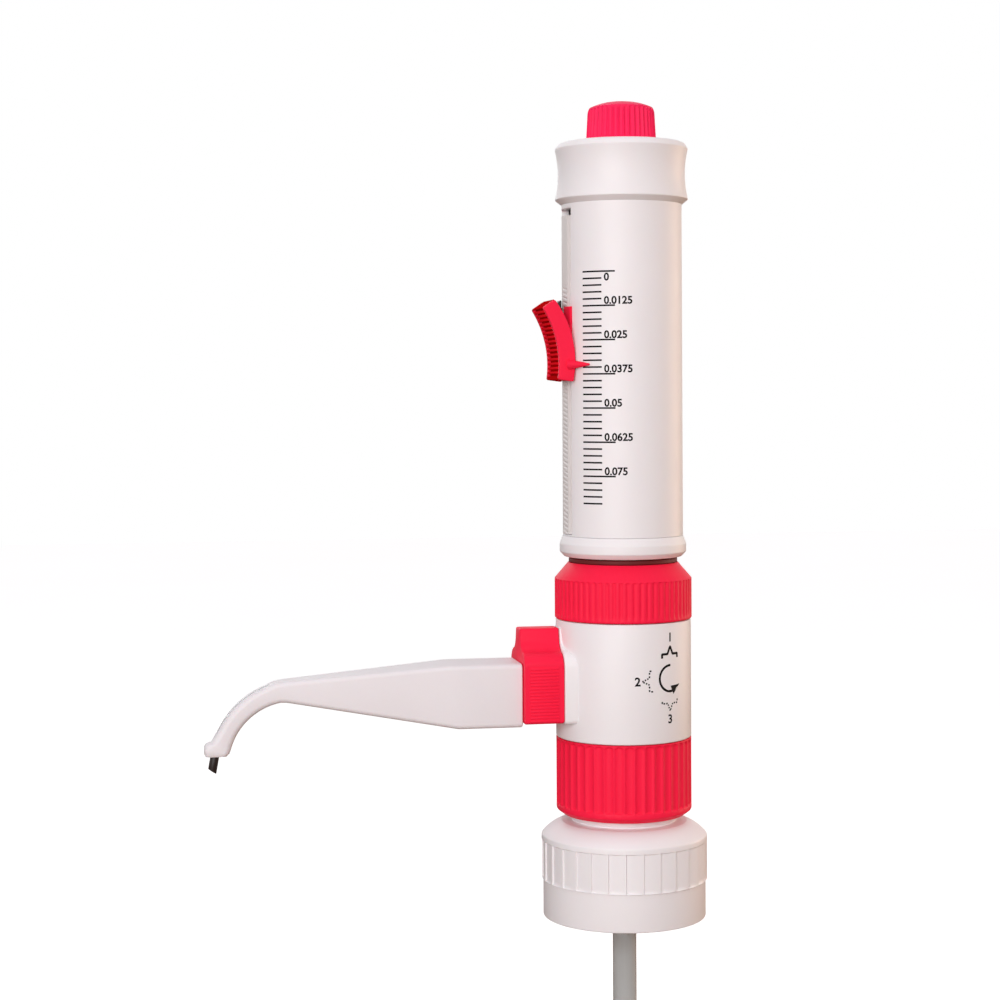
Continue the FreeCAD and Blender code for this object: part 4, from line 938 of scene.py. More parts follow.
@dataclass
class ValveBlock:
    """White block with the boss behind the valve knob; the printed marks of the knob's positions are made in
    KnobMarks.
    """

    radius: float = 21.9
    base: float = 58.0
    top: float = 96.0
    spigot_radius: float = 18.7
    spigot_top: float = 103.3
    flange_radius: float = 18.0
    flange_base: float = 49.4
    flange_top: float = 53.9
    neck_radius: float = 14.0
    bore: float = 7.4
    cylinder_bore: float = 6.3
    seat_height: float = 86.0
    boss_margin: float = 0.3
    boss_face: float = 22.0
    boss_depth: float = 12.0
    boss_rounding: float = 0.5
    section: KnobSection = field(default_factory=KnobSection)

    def build(self) -> None:
        """Turn the block and raise its boss."""
        outline = [
            (self.bore, self.flange_base, 0.2),
            (self.flange_radius, self.flange_base, 0.3),
            (self.flange_radius, self.flange_top, 0.3),
            (self.neck_radius, self.flange_top),
            (self.neck_radius, self.base),
            (self.radius, self.base, 0.5),
            (self.radius, self.top, 0.4),
            (self.spigot_radius, self.top),
            (self.spigot_radius, self.spigot_top, 0.3),
            (self.cylinder_bore, self.spigot_top, 0.2),
            (self.cylinder_bore, self.seat_height),
            (0.0, self.seat_height),
            (0.0, self.seat_height - 20.0),
            (self.bore, self.seat_height - 20.0),
        ]
        Solid("valve_block_shell").turn(rounded(outline), 256).finish(Body.HEAD, WHITE, ["valve_block"])
        boss = Solid("valve_block_boss")
        boss.block(self.section.outline(self.boss_margin), self.section.place,
                   self.boss_face - self.boss_depth, self.boss_face, self.boss_rounding)
        boss.finish(Body.HEAD, WHITE)


@dataclass
class ValveKnob:
    """Red knob around the nozzle's root, with a hump on top and fine ribs on both sides."""

    back: float = 22.1
    front: float = 34.85
    rounding: float = 0.55
    inset: float = 0.3
    ribs: int = 17
    rib_pitch: float = 1.03
    rib_margin: float = 1.7
    rib_low: float = -11.7
    rib_thickness: float = 0.96
    rib_share: float = 0.62
    rib_rounding: float = 0.16
    section: KnobSection = field(default_factory=KnobSection)

    def build(self) -> None:
        """Extrude the knob and set its ribs."""
        knob = Solid("valve_knob_shell")
        knob.block(self.section.outline(), self.section.place, self.back, self.front, self.rounding)
        knob.move(self.flatten)
        knob.finish(Body.KNOB, RED, ["valve_knob"])
        ribs = Solid("valve_knob_ribs")
        for side in (-1, 1):
            for index in range(self.ribs):
                self.rib(ribs, side, self.rib_low + index * self.rib_pitch)
        ribs.finish(Body.KNOB, RED)

    def flatten(self, co: Vector) -> Vector:
        """Draw the flanks in, to leave room for the ribs."""
        limit = self.section.half_width - self.inset
        return Vector((co.x, max(-limit, min(limit, co.y)), co.z))

    def rib(self, solid: Solid, side: int, level: float) -> None:
        """Add one rounded rib to a flank.

        Args:
            solid: The mesh that holds the ribs.
            side: -1 for the front flank and 1 for the rear one.
            level: Its height above the nozzle's axis.
        """
        length = self.front - self.back - 2 * self.rib_margin
        along = (self.front + self.back) / 2
        centre = self.section.place(side * (self.section.half_width - 0.5), level, along)
        size = Matrix.Diagonal((length, self.rib_thickness, self.rib_pitch * self.rib_share, 1.0))
        solid.bar(Matrix.Translation(centre) @ size, self.rib_rounding, 2)


@dataclass
class NozzleArm:
    """Tapered white arm with its curved spout, and the open channel that shows the fine tube."""

    root: float = 35.05
    root_top: float = 83.0
    root_bottom: float = 62.8
    top_flat_end: float = 57.95
    bottom_flat_end: float = 55.5
    neck: float = 110.45
    neck_top: float = 78.7
    neck_bottom: float = 72.3
    root_half: float = 9.75
    neck_half: float = 5.0
    foot_half: float = 4.2
    spout_end: float = 132.35
    spout_inner_end: float = 125.95
    spout_level: float = 60.3
    outer_bow: float = 4.1
    inner_bow: float = 2.6
    foot_out: float = 135.05
    foot_in: float = 127.85
    foot_top: float = 59.4
    foot_level: float = 55.75
    channel_drop: float = 0.4
    tube_radius: float = 1.2
    tube_depth: float = 1.32
    tube_start: float = 23.9
    tube_level: float = 76.8
    tube_end: Point = (131.26, 57.05)
    tube_steps: int = 24
    corner: float = 1.5
    span: Point = (42.0, 46.0, 57.0, 61.0, 66.0, 72.0, 80.0, 88.0, 96.0, 103.0, 107.0, 109.5)
    bend_steps: int = 24
    foot_backs: tuple[Point, ...] = ((126.3, 59.4), (126.9, 57.6), (127.3, 56.6))
    ring_points: int = 8

    def section(self, top: Point, bottom: Point, half: float, corner: float) -> list[Point]:
        """Ring of a rounded rectangle.

        Args:
            top: Middle of its upper edge, as (out, up).
            bottom: Middle of its lower edge.
            half: Half its width.
            corner: Radius of its corners.

        Returns:
            Points of the ring.
        """
        upper = Vector(top)
        lower = Vector(bottom)
        height = (upper - lower).length
        rise = (upper - lower) / height
        centre = (upper + lower) / 2
        corner = min(corner, half * 0.95, height * 0.48)
        box = [(half, -height / 2, corner), (half, height / 2, corner), (-half, height / 2, corner),
               (-half, -height / 2, corner)]
        ring = []
        for across, along in rounded(box, arc_points=self.ring_points):
            spot = centre + rise * along
            ring.append((-spot.x, -across, spot.y))
        return ring

    def half_at(self, out: float) -> float:
        """Half the arm's width at a distance from the main axis."""
        share = min(1.0, max(0.0, (out - self.bottom_flat_end) / (self.neck - self.bottom_flat_end)))
        return self.root_half + (self.neck_half - self.root_half) * share

    def stations(self) -> list[tuple[Point, Point, float, float]]:
        """Work out the sections from the root to the foot.

        Returns:
            Top, bottom, half width and corner radius of each.
        """
        found = []
        ends = (self.root, self.root + 0.25, self.bottom_flat_end, self.top_flat_end)
        for out in sorted((*ends, *self.span)):
            top_share = max(0.0, (out - self.top_flat_end) / (self.neck - self.top_flat_end))
            low_share = max(0.0, (out - self.bottom_flat_end) / (self.neck - self.bottom_flat_end))
            top = self.root_top - (self.root_top - self.neck_top) * top_share
            low = self.root_bottom + (self.neck_bottom - self.root_bottom) * low_share
            inset = 0.3 if out == self.root else 0.0
            found.append(((out, top - inset), (out, low + inset), self.half_at(out) - inset, self.corner))
        outer = self.outer_edge(self.bend_steps)
        inner = bowed((self.neck, self.neck_bottom), (self.spout_inner_end, self.spout_level),
                      -self.inner_bow, self.bend_steps)
        for index, (top, low) in enumerate(zip(outer, inner), start=1):
            share = index / self.bend_steps
            sunk = self.channel_drop * ramp(0.08, 0.2, share) * (1 - ramp(0.86, 0.98, share))
            inward = (Vector(low) - Vector(top)).normalized() * sunk
            half = self.neck_half + (self.foot_half - self.neck_half) * share
            found.append((tuple(Vector(top) + inward), low, half, self.corner + 0.6 * share))
        backs = self.foot_backs
        low = self.foot_level
        found += [
            ((self.spout_end + 0.6, self.spout_level - 0.5), backs[0], self.foot_half, 2.1),
            ((self.foot_out - 0.7, self.foot_top), backs[1], self.foot_half, 1.9),
            ((self.foot_out, self.foot_top - 1.0), backs[2], self.foot_half, 1.8),
            ((self.foot_out, low + 0.5), (self.foot_in - 0.1, low + 0.5), self.foot_half, 1.8),
            ((self.foot_out - 0.35, low), (self.foot_in + 0.25, low), self.foot_half - 0.4, self.corner),
        ]
        return found

    def outer_edge(self, steps: int) -> list[Point]:
        """Points of the bend's outer edge, in a number of steps."""
        return bowed((self.neck, self.neck_top), (self.spout_end, self.spout_level), -self.outer_bow, steps)

    def build(self) -> None:
        """Loft the arm from root to foot, and its fine tube."""
        arm = Solid("nozzle_arm_shell").loft([self.section(*station) for station in self.stations()])
        arm.finish(Body.HEAD, ARM_WHITE, ["nozzle_arm"], sharp=50)
        self.build_tube()

    def build_tube(self) -> None:
        """Loft the fine tube through the arm, round the bend under its outer edge and down to the tip."""
        edge = [Vector(point) for point in self.outer_edge(2 * self.bend_steps)]
        way = [Vector((self.tube_start, self.tube_level)), Vector((self.neck - 8.0, self.tube_level))]
        for before, here, after in zip(edge, edge[1:], edge[2:]):
            along = (after - before).normalized()
            way.append(here + Vector((along.y, -along.x)) * self.tube_depth)
        way.append(Vector(self.tube_end))
        rings = []
        for index, centre in enumerate(way):
            along = (way[min(index + 1, len(way) - 1)] - way[max(index - 1, 0)]).normalized()
            turns = [2 * math.pi * step / self.tube_steps for step in range(self.tube_steps)]
            rings.append([(-centre.x + self.tube_radius * math.cos(turn) * along.y,
                           self.tube_radius * math.sin(turn),
                           centre.y + self.tube_radius * math.cos(turn) * along.x) for turn in turns])
        tube = Solid("discharge_tube_wall").loft(rings)
        tube.finish(Body.HEAD, CLEAR_TUBE, ["discharge_tube"], sharp=60)


@dataclass
class Sleeve:
    """White sleeve with its slot, the ring at its foot and the waisted collar on top."""

    radius: float = 19.5
    wall: float = 2.3
    base: float = 123.0
    top: float = 230.0
    slot_base: float = 123.5
    slot_top: float = 228.4
    slot_half_angle: float = 19.5
    slot_rounding: float = 0.28
    tube_steps: int = 360
    ring_base: float = 116.2
    ring_foot_radius: float = 19.0
    ring_radius: float = 20.5
    ring_foot_height: float = 1.6
    ring_land_height: float = 2.6
    ring_bore: float = 16.3
    collar_top: float = 250.0
    collar_radius: float = 21.6
    collar_cone: float = 1.7
    collar_waist: float = 1.0
    collar_rim: float = 2.0
    bevel_radius: float = 20.7
    bevel_height: float = 0.5
    top_radius: float = 19.8
    register: float = 3.25
    stem_radius: float = 3.55
    collar_bore: float = 16.5
    roof: float = 3.5

    def build(self) -> None:
        """Build the tube, the ring and the collar."""
        self.build_tube()
        self.build_ring()
        self.build_collar()

    def build_tube(self) -> None:
        """Turn the tube's wall, open the slot and give the wall its thickness."""
        tube = Solid("outer_sleeve_tube")
        heights = [self.base + 0.05, self.slot_base, self.slot_base + 0.8, 160.0, 195.0, self.slot_top - 0.8,
                   self.slot_top, self.top]
        verts = [tube.bm.verts.new((-self.radius, 0.0, height)) for height in heights]
        edges = [tube.bm.edges.new(pair) for pair in zip(verts, verts[1:])]
        bmesh.ops.spin(tube.bm, geom=verts + edges, cent=(0, 0, 0), axis=(0, 0, 1), angle=2 * math.pi,
                       steps=self.tube_steps, use_merge=True)
        limit = math.radians(self.slot_half_angle)
        gone = []
        for face in tube.bm.faces:
            centre = face.calc_center_median()
            turned = abs(math.atan2(centre.y, -centre.x))
            if turned < limit and self.slot_base < centre.z < self.slot_top:
                gone.append(face)
        bmesh.ops.delete(tube.bm, geom=gone, context="FACES")
        tube.face_out()
        bmesh.ops.solidify(tube.bm, geom=tube.bm.faces, thickness=self.wall)
        rim = [e for e in tube.bm.edges if e.calc_face_angle(0) > math.radians(60)
               and all(self.slot_base - 0.1 < v.co.z < self.slot_top + 0.1 for v in e.verts)
               and all(math.hypot(v.co.x, v.co.y) > self.radius - 0.1 for v in e.verts)]
        tube.soften(rim, self.slot_rounding, 3)
        tube.finish(Body.SLEEVE, WHITE, ["outer_sleeve"])

    def build_ring(self) -> None:
        """Turn the ring at the foot."""
        land = self.ring_base + self.ring_foot_height
        outline = [
            (self.ring_bore, self.ring_base, 0.2),
            (self.ring_foot_radius, self.ring_base, 0.6),
            (self.ring_radius, land, 0.7),
            (self.ring_radius, land + self.ring_land_height, 1.2),
            (self.radius, self.base, 0.5),
            (self.radius - 0.9, self.base),
            (self.radius - 1.1, self.base - 3.9),
            (self.ring_bore, self.base - 3.9),
        ]
        Solid("sleeve_foot_ring").turn(rounded(outline), 224).finish(Body.SLEEVE, WHITE, ["sleeve_base_ring"])

    def build_collar(self) -> None:
        """Turn the waisted collar."""
        waist_start = (self.collar_radius, self.top + self.collar_cone)
        waist_end = (self.collar_radius, self.collar_top - self.collar_rim)
        outline = [
            (self.radius - 1.0, self.top),
            (self.radius, self.top, 0.15),
            (*waist_start, 0.45),
            *bowed(waist_start, waist_end, -self.collar_waist, 18),
            (*waist_end, 0.5),
            (self.bevel_radius, self.collar_top - self.bevel_height, 0.4),
            (self.top_radius, self.collar_top, 0.4),
            (self.stem_radius, self.collar_top, 0.2),
            (self.stem_radius, self.collar_top - self.roof),
            (self.collar_bore, self.collar_top - self.roof),
            (self.collar_bore, self.top + self.register),
            (self.radius - 1.0, self.top + self.register),
        ]
        Solid("handle_collar_shell").turn(rounded(outline), 256).finish(Body.SLEEVE, WHITE, ["handle_collar"])


@dataclass
class CalibrationKnob:
    """Red grooved knob on top, in a pinker red that paints the cool light from above."""

    radius: float = 11.4
    base: float = 250.2
    shoulder_radius: float = 10.9
    shoulder: float = 259.5
    edge_radius: float = 10.3
    edge: float = 261.5
    crown: float = 263.5
    crown_bow: float = 0.5
    crown_flat: float = 1.5
    stem_radius: float = 3.5
    stem_base: float = 239.0
    grooves: int = 40
    groove_depth: float = 0.62
    groove_end: float = 0.9
    groove_steps: int = 12
    side_steps: int = 14

    def build(self) -> None:
        """Turn the knob and cut its grooves."""
        foot = Vector((self.radius, self.base + 0.3))
        rim = Vector((self.shoulder_radius, self.shoulder))
        side = [tuple(foot.lerp(rim, step / self.side_steps)) for step in range(self.side_steps + 1)]
        shoulder = (self.shoulder_radius, self.shoulder)
        edge = (self.edge_radius, self.edge)
        flat = (self.crown_flat, self.crown)
        outline = [
            (0.0, self.stem_base),
            (self.stem_radius, self.stem_base, 0.3),
            (self.stem_radius, self.base),
            (self.radius, self.base, 0.15),
            *side,
            *bowed(shoulder, edge, 0.12, 4),
            (*edge, 0.7),
            *bowed(edge, flat, self.crown_bow, 10),
            flat,
            (0.0, self.crown),
        ]
        knob = Solid("calibration_knob_cap").turn(rounded(outline), self.grooves * self.groove_steps)
        knob.groove(self.grooves, self.groove_depth, self.base + 0.3, self.edge - 0.2, self.groove_end,
                    self.edge_radius - 1.0, valley)
        knob.finish(Body.CALIBRATION, TOP_PAINTED_LIGHT_RED, ["calibration_knob"])


@dataclass
class Trim:
    """Dark bumper under the sleeve, its maroon tint a painted reflection of the red nuts, and the dark tip.
    """

    bumper_inner: float = 16.2
    bumper_radius: float = 17.6
    bumper_base: float = 114.3
    bumper_top: float = 115.9
    tip_rounding: float = 0.15

    def build(self) -> None:
        """Turn the bumper and round the tip."""
        outline = [
            (self.bumper_inner, self.bumper_base),
            (self.bumper_radius, self.bumper_base, 0.4),
            (self.bumper_radius, self.bumper_top, 0.5),
            (self.bumper_inner, self.bumper_top, 0.3),
        ]
        # The bumper's maroon tint is painted red reflection on dark rubber.
        bumper = Solid("bumper_ring_rubber").turn(rounded(outline), 128)
        bumper.finish(Body.HEAD, DARK_RUBBER, ["bumper_ring"])
        tip = softened("nozzle_tip", "nozzle_tip_end", self.tip_rounding)
        tip.finish(Body.HEAD, DARK_PLASTIC, ["nozzle_tip"])


@dataclass
class ToothRack:
    """White strip in the slot with its fine slanted teeth."""

    radius: float = 19.45
    inner_radius: float = 18.2
    base: float = 123.65
    top: float = 226.3
    half_angle: float = 13.5
    floor_radius: float = 17.35
    floor_edge: float = 19.05
    tooth_base: float = 124.3
    tooth_top: float = 204.4
    tooth_pitch: float = 1.473
    tooth_depth: float = 0.3
    tooth_start: float = -2.4
    tooth_end: float = 12.4
    tooth_slant: float = 0.9

    def build(self) -> None:
        """Bend the strip, press its teeth and give it a floor."""
        strip = Solid("tooth_rack_strip")
        self.sheet(strip, self.radius, self.half_angle, 54, 0.147)
        strip.move(self.tooth)
        bmesh.ops.solidify(strip.bm, geom=strip.bm.faces, thickness=self.radius - self.inner_radius)
        strip.finish(Body.SLEEVE, RACK, ["tooth_rack"])
        floor = Solid("tooth_rack_floor")
        floor_top = self.inner_radius + 0.1
        self.sheet(floor, floor_top, self.floor_edge, 24, 4.0)
        bmesh.ops.solidify(floor.bm, geom=floor.bm.faces, thickness=floor_top - self.floor_radius)
        floor.finish(Body.SLEEVE, RACK)

    def sheet(self, solid: Solid, radius: float, near: float, steps: int, spacing: float) -> None:
        """Add a bent sheet from the far edge of the strip to a near edge.

        Args:
            solid: The mesh that holds it.
            radius: Its outer radius.
            near: Angle of its near edge, in degrees.
            steps: Steps across it.
            spacing: Height of a step along it.
        """
        begin = math.radians(180 - self.half_angle)
        count = round((self.top - self.base) / spacing)
        corner = Vector((radius * math.cos(begin), radius * math.sin(begin), self.base))
        rise = Vector((0, 0, (self.top - self.base) / count))
        verts = [solid.bm.verts.new(corner + rise * step) for step in range(count + 1)]
        edges = [solid.bm.edges.new(pair) for pair in zip(verts, verts[1:])]
        bmesh.ops.spin(solid.bm, geom=verts + edges, cent=(0, 0, 0), axis=(0, 0, 1),
                       angle=math.radians(self.half_angle + near), steps=steps)
        solid.face_out()

    def tooth(self, co: Vector) -> Vector:
        """Sink the slanted grooves between the teeth.

        Args:
            co: A vertex's place.

        Returns:
            Its new place.
        """
        across = math.degrees(math.atan2(-co.y, -co.x))
        share = (across - self.tooth_start) / (self.tooth_end - self.tooth_start)
        if not 0 < share < 1:
            return co
        level = (co.z - self.tooth_base + self.tooth_slant * share) / self.tooth_pitch
        if not 0 < level < (self.tooth_top - self.tooth_base) / self.tooth_pitch:
            return co
        off = abs(level % 1.0 - 0.5) * 2
        ends = ramp(0, 0.15, share) * (1 - ramp(0.85, 1, share))
        depth = self.tooth_depth * max(0.0, 1 - (off / 0.5) ** 2) * ends
        smaller = (self.radius - depth) / self.radius
        return Vector((co.x * smaller, co.y * smaller, co.z))


@dataclass
class ThumbLever:
    """Curved hollow lever with ribs across its thumb face and the pointer on its near side."""

    toe: Point = (-23.2, 173.4)
    heel: Point = (-18.2, 172.7)
    back_top: Point = (-24.2, 199.0)
    front_top: Point = (-28.1, 196.3)
    back_bow: float = 2.9
    front_bow: float = 2.1
    half_width: float = 10.0
    side_wall: float = 1.6
    side_rounding: float = 0.35
    face_wall: float = 1.3
    floor_end: float = -20.4
    groove_depth: float = 0.95
    grooves: int = 16
    groove_low: float = -5.6
    groove_pitch: float = 2.453
    rib_share: float = 0.52
    rib_proud: float = 0.2
    rib_root: float = 0.3
    rib_rounding: float = 0.24
    margin: float = 1.8
    pin: Point = (-20.4, 176.5)
    press: float = 5.0
    sleeve_radius: float = 19.5
    clearance: float = 0.6
    pressed_clearance: float = 0.15
    pointer_root: Point = (-19.6, -9.6, 178.15)
    pointer_heading: float = -40.6
    pointer_length: float = 7.4
    pointer_radius: float = 1.7
    pointer_tip: float = 0.28
    pointer_rounding: float = 0.18

    def centre(self) -> tuple[Vector, float]:
        """Work out the arc of the thumb face.

        Returns:
            Its centre and radius.
        """
        first = Vector(self.front_top)
        last = Vector(self.toe)
        chord = last - first
        radius = (chord.length ** 2 / 4 + self.front_bow ** 2) / (2 * self.front_bow)
        inward = Vector((-chord.y, chord.x)).normalized()
        return (first + last) / 2 - inward * (radius - self.front_bow), radius

    def on_arc(self, beyond: float, degrees: float) -> Point:
        """Find a point behind the thumb face.

        Args:
            beyond: Distance behind the face.
            degrees: Angle about the centre of its arc.

        Returns:
            The point, as (along, up).
        """
        centre, radius = self.centre()
        turn = math.radians(degrees)
        return (centre.x + (radius + beyond) * math.cos(turn), centre.y + (radius + beyond) * math.sin(turn))

    def build(self) -> None:
        """Build the two sides, the face with its ribs in darker reds that paint the face's shade, and the
        pointer.
        """
        lever = Solid("thumb_lever_shell")
        side = rounded([
            (*self.toe, 0.7),
            (*self.heel, 0.6),
            *bowed(self.heel, self.back_top, self.back_bow, 18),
            (*self.back_top, 1.1),
            (*self.front_top, 0.7),
            *bowed(self.front_top, self.toe, -self.front_bow, 18),
        ])
        inner = self.half_width - self.side_wall
        lever.block(side, self.place, -self.half_width, -inner + 0.2, self.side_rounding)
        lever.block(side, self.place, inner - 0.2, self.half_width, self.side_rounding)
        lever.move(self.trim)
        low = self.groove_low - self.groove_pitch * 0.3
        high = self.groove_low + self.groove_pitch * (self.grooves - 0.7)
        steps = [low + (high - low) * step / 24 for step in range(25)]
        face = [
            self.toe,
            self.on_arc(0, low),
            *[self.on_arc(self.groove_depth, turn) for turn in steps],
            self.on_arc(0, high),
            self.front_top,
            self.back_top,
            (self.back_top[0] + 0.7, self.back_top[1] - 1.4),
            (self.front_top[0] + 1.5, self.front_top[1] - 0.9),
            *[self.on_arc(self.groove_depth + self.face_wall, turn) for turn in reversed(steps)],
            (self.floor_end - 1.5, self.toe[1] + 0.8),
            (self.floor_end, self.toe[1] + 0.8),
            (self.floor_end, self.toe[1] - 0.4),
        ]
        lever.finish(Body.LEVER, RED, ["thumb_lever"])
        # The face's floor takes the deep red, which paints the shade in the grooves.
        floor = Solid("thumb_lever_face").block(face, self.place, -inner - 0.1, inner + 0.1)
        floor.finish(Body.LEVER, THUMB_PAINTED_SHADE_RED)
        # The ribs take a duller red, which paints the face's shade.
        ribs = Solid("thumb_lever_ribs")
        for index in range(self.grooves - 1):
            self.rib(ribs, self.groove_low + self.groove_pitch * (index + 0.5))
        ribs.finish(Body.LEVER, RIB_PAINTED_SHADE_RED)
        self.build_pointer()

    def build_pointer(self) -> None:
        """Turn a blunt cone and lay it from the near side towards the scale."""
        pointer = Solid("thumb_lever_pointer")
        bmesh.ops.create_cone(pointer.bm, cap_ends=True, segments=40, radius1=self.pointer_radius,
                              radius2=self.pointer_tip, depth=self.pointer_length)
        rims = [e for e in pointer.bm.edges if any(len(f.verts) > 4 for f in e.link_faces)]
        pointer.soften(rims, self.pointer_rounding, 3)
        heading = Matrix.Rotation(math.radians(self.pointer_heading), 4, "Z")
        lay = heading @ Matrix.Rotation(math.pi / 2, 4, "Y")
        ahead = Matrix.Translation((0, 0, self.pointer_length / 2))
        place = Matrix.Translation(self.pointer_root) @ lay @ ahead
        bmesh.ops.transform(pointer.bm, matrix=place, verts=pointer.bm.verts)
        pointer.finish(Body.LEVER, RED)

    def place(self, along: float, up: float, out: float) -> Point:
        """A point of the lever's side outline at a distance across it."""
        return (along, out, up)

    def trim(self, co: Vector) -> Vector:
        """Keep the sides clear of the sleeve, at rest and when pressed.

        Args:
            co: A vertex's place.

        Returns:
            Its new place.
        """
        reach = math.sqrt(max(0.0, (self.sleeve_radius + self.clearance) ** 2 - co.y ** 2))
        tight = math.sqrt(max(0.0, (self.sleeve_radius + self.pressed_clearance) ** 2 - co.y ** 2))
        turn = math.radians(self.press)
        lever_arm = -tight - self.pin[0] - (co.z - self.pin[1]) * math.sin(turn)
        pressed = self.pin[0] + lever_arm / math.cos(turn)
        return Vector((min(co.x, -reach, pressed), co.y, co.z))

    def rib(self, solid: Solid, degrees: float) -> None:
        """Add one rounded rib across the thumb face.

        Args:
            solid: The mesh that holds the ribs.
            degrees: Its angle about the centre of the face's arc.
        """
        _, radius = self.centre()
        width = math.radians(self.groove_pitch) * radius * self.rib_share
        height = self.groove_depth + self.rib_proud + self.rib_root
        middle = self.on_arc((self.groove_depth + self.rib_root - self.rib_proud) / 2, degrees)
        size = Matrix.Diagonal((height, 2 * (self.half_width - self.margin), width, 1.0))
        spin = Matrix.Rotation(-math.radians(degrees), 4, "Y")
        place = Matrix.Translation((middle[0], 0.0, middle[1])) @ spin @ size
        solid.bar(place, self.rib_rounding, 3)


@dataclass
class VolumeSlider:
    """Carriage in the slot with its dark block."""

    rail_rounding: float = 0.12
    block_rounding: float = 0.25

    def build(self) -> None:
        """Round the edges of the carriage's pieces."""
        rails = softened("slider_carriage", "slider_carriage_rails", self.rail_rounding)
        rails.finish(Body.SLIDER, RED, ["slider_carriage"])
        block = softened("spring_block", "spring_block_pad", self.block_rounding)
        block.finish(Body.SLIDER, DARK_PLASTIC, ["spring_block"])


@dataclass
class Print:
    """Flat print wrapped on a round wall: the volume scale, its numbers and the marks of the knob."""

    thickness: float = 0.03
    boldness: float = 0.1
    piece_length: float = 0.8

    def wrap(self, co: Vector, radius: float, angle: float, level: float) -> Vector:
        """Bend a flat point onto the wall.

        Args:
            co: Flat point: x along the wall, y up, z out of it.
            radius: The wall's radius.
            angle: Angle of the flat origin, in degrees.
            level: Height of the flat origin.

        Returns:
            The point in space.
        """
        turned = math.radians(angle) + co.x / radius
        out = radius + co.z
        return Vector((out * math.cos(turned), out * math.sin(turned), level + co.y))

    def stroke(self, solid: Solid, points: Sequence[Point], width: float, radius: float, angle: float,
               level: float) -> None:
        """Add a printed line of even width.

        Args:
            solid: The mesh that holds the print.
            points: Flat points of its middle line.
            width: Its width.
            radius: The wall's radius.
            angle: Angle of the flat origin, in degrees.
            level: Height of the flat origin.
        """
        for start, end in zip(points, points[1:]):
            first = Vector(start)
            last = Vector(end)
            length = (last - first).length
            pieces = max(1, round(length / self.piece_length))
            overlap = width * 0.3 if len(points) > 2 else 0
            spin = Matrix.Rotation((last - first).angle_signed(Vector((1, 0))), 4, "Z")
            for index in range(pieces):
                middle = first.lerp(last, (index + 0.5) / pieces)
                size = Matrix.Diagonal((length / pieces + overlap, width, 1, 1))
                place = Matrix.Translation((middle.x, middle.y, 0)) @ spin @ size
                verts = bmesh.ops.create_cube(solid.bm, size=1.0, matrix=place)["verts"]
                for vert in verts:
                    flat = vert.co.copy()
                    flat.z = self.thickness if flat.z > 0 else -self.thickness
                    vert.co = self.wrap(flat, radius, angle, level)

    def words(self, name: str, text: str, height: float, radius: float, angle: float, level: float,
              body: Body, left: bool = True) -> bpy.types.Object:
        """Add printed numbers.

        Args:
            name: Name of the piece.
            text: The digits.
            height: Height of a digit.
            radius: The wall's radius.
            angle: Angle of their left end, or of their middle.
            level: Height of their foot.
            body: Body that they ride on.
            left: Whether the angle is that of their left end.

        Returns:
            The piece.
        """
        curve = bpy.data.curves.new(name, "FONT")
        curve.body = text
        curve.size = height / 0.7
        curve.align_x = "LEFT" if left else "CENTER"
        curve.resolution_u = 4
        curve.extrude = self.thickness
        curve.offset = self.boldness
        maker = bpy.data.objects.new(name + "_maker", curve)
        bpy.context.scene.collection.objects.link(maker)
        bpy.context.view_layer.update()
        flat = bpy.data.meshes.new_from_object(maker.evaluated_get(bpy.context.evaluated_depsgraph_get()))
        bpy.data.objects.remove(maker)
        solid = Solid(name)
        solid.bm.from_mesh(flat)
        bmesh.ops.triangulate(solid.bm, faces=solid.bm.faces)
        solid.move(lambda co: self.wrap(co, radius, angle, level))
        return solid.finish(body, INK)


@dataclass
class VolumeScale(Print):
    """Scale printed on the sleeve."""

    radius: float = 19.5
    zero: float = 207.6
    pitch: float = 2.166
    ticks: int = 35
    start_angle: float = -142.8
    short_angle: float = -122.5
    long_angle: float = -109.6
    line_width: float = 0.52
    digit_height: float = 2.36
    number_angle: float = -120.1
    labels: tuple[str, ...] = ("0", "0.0125", "0.025", "0.0375", "0.05", "0.0625", "0.075")

    def build(self) -> None:
        """Print the lines and the numbers."""
        lines = Solid("printed_scale")
        for index in range(self.ticks):
            end = self.long_angle if index % 5 == 0 and index < self.ticks - 1 else self.short_angle
            length = math.radians(end - self.start_angle) * self.radius
            self.stroke(lines, [(0.0, 0.0), (length, 0.0)], self.line_width, self.radius, self.start_angle,
                        self.zero - index * self.pitch)
        lines.finish(Body.SLEEVE, INK)
        for index, label in enumerate(self.labels):
            level = self.zero - index * 5 * self.pitch
            foot = level - self.digit_height - 0.55 if index == 0 else level + 0.5
            self.words(f"printed_number_{index}", label, self.digit_height, self.radius,
                       self.number_angle, foot, Body.SLEEVE)


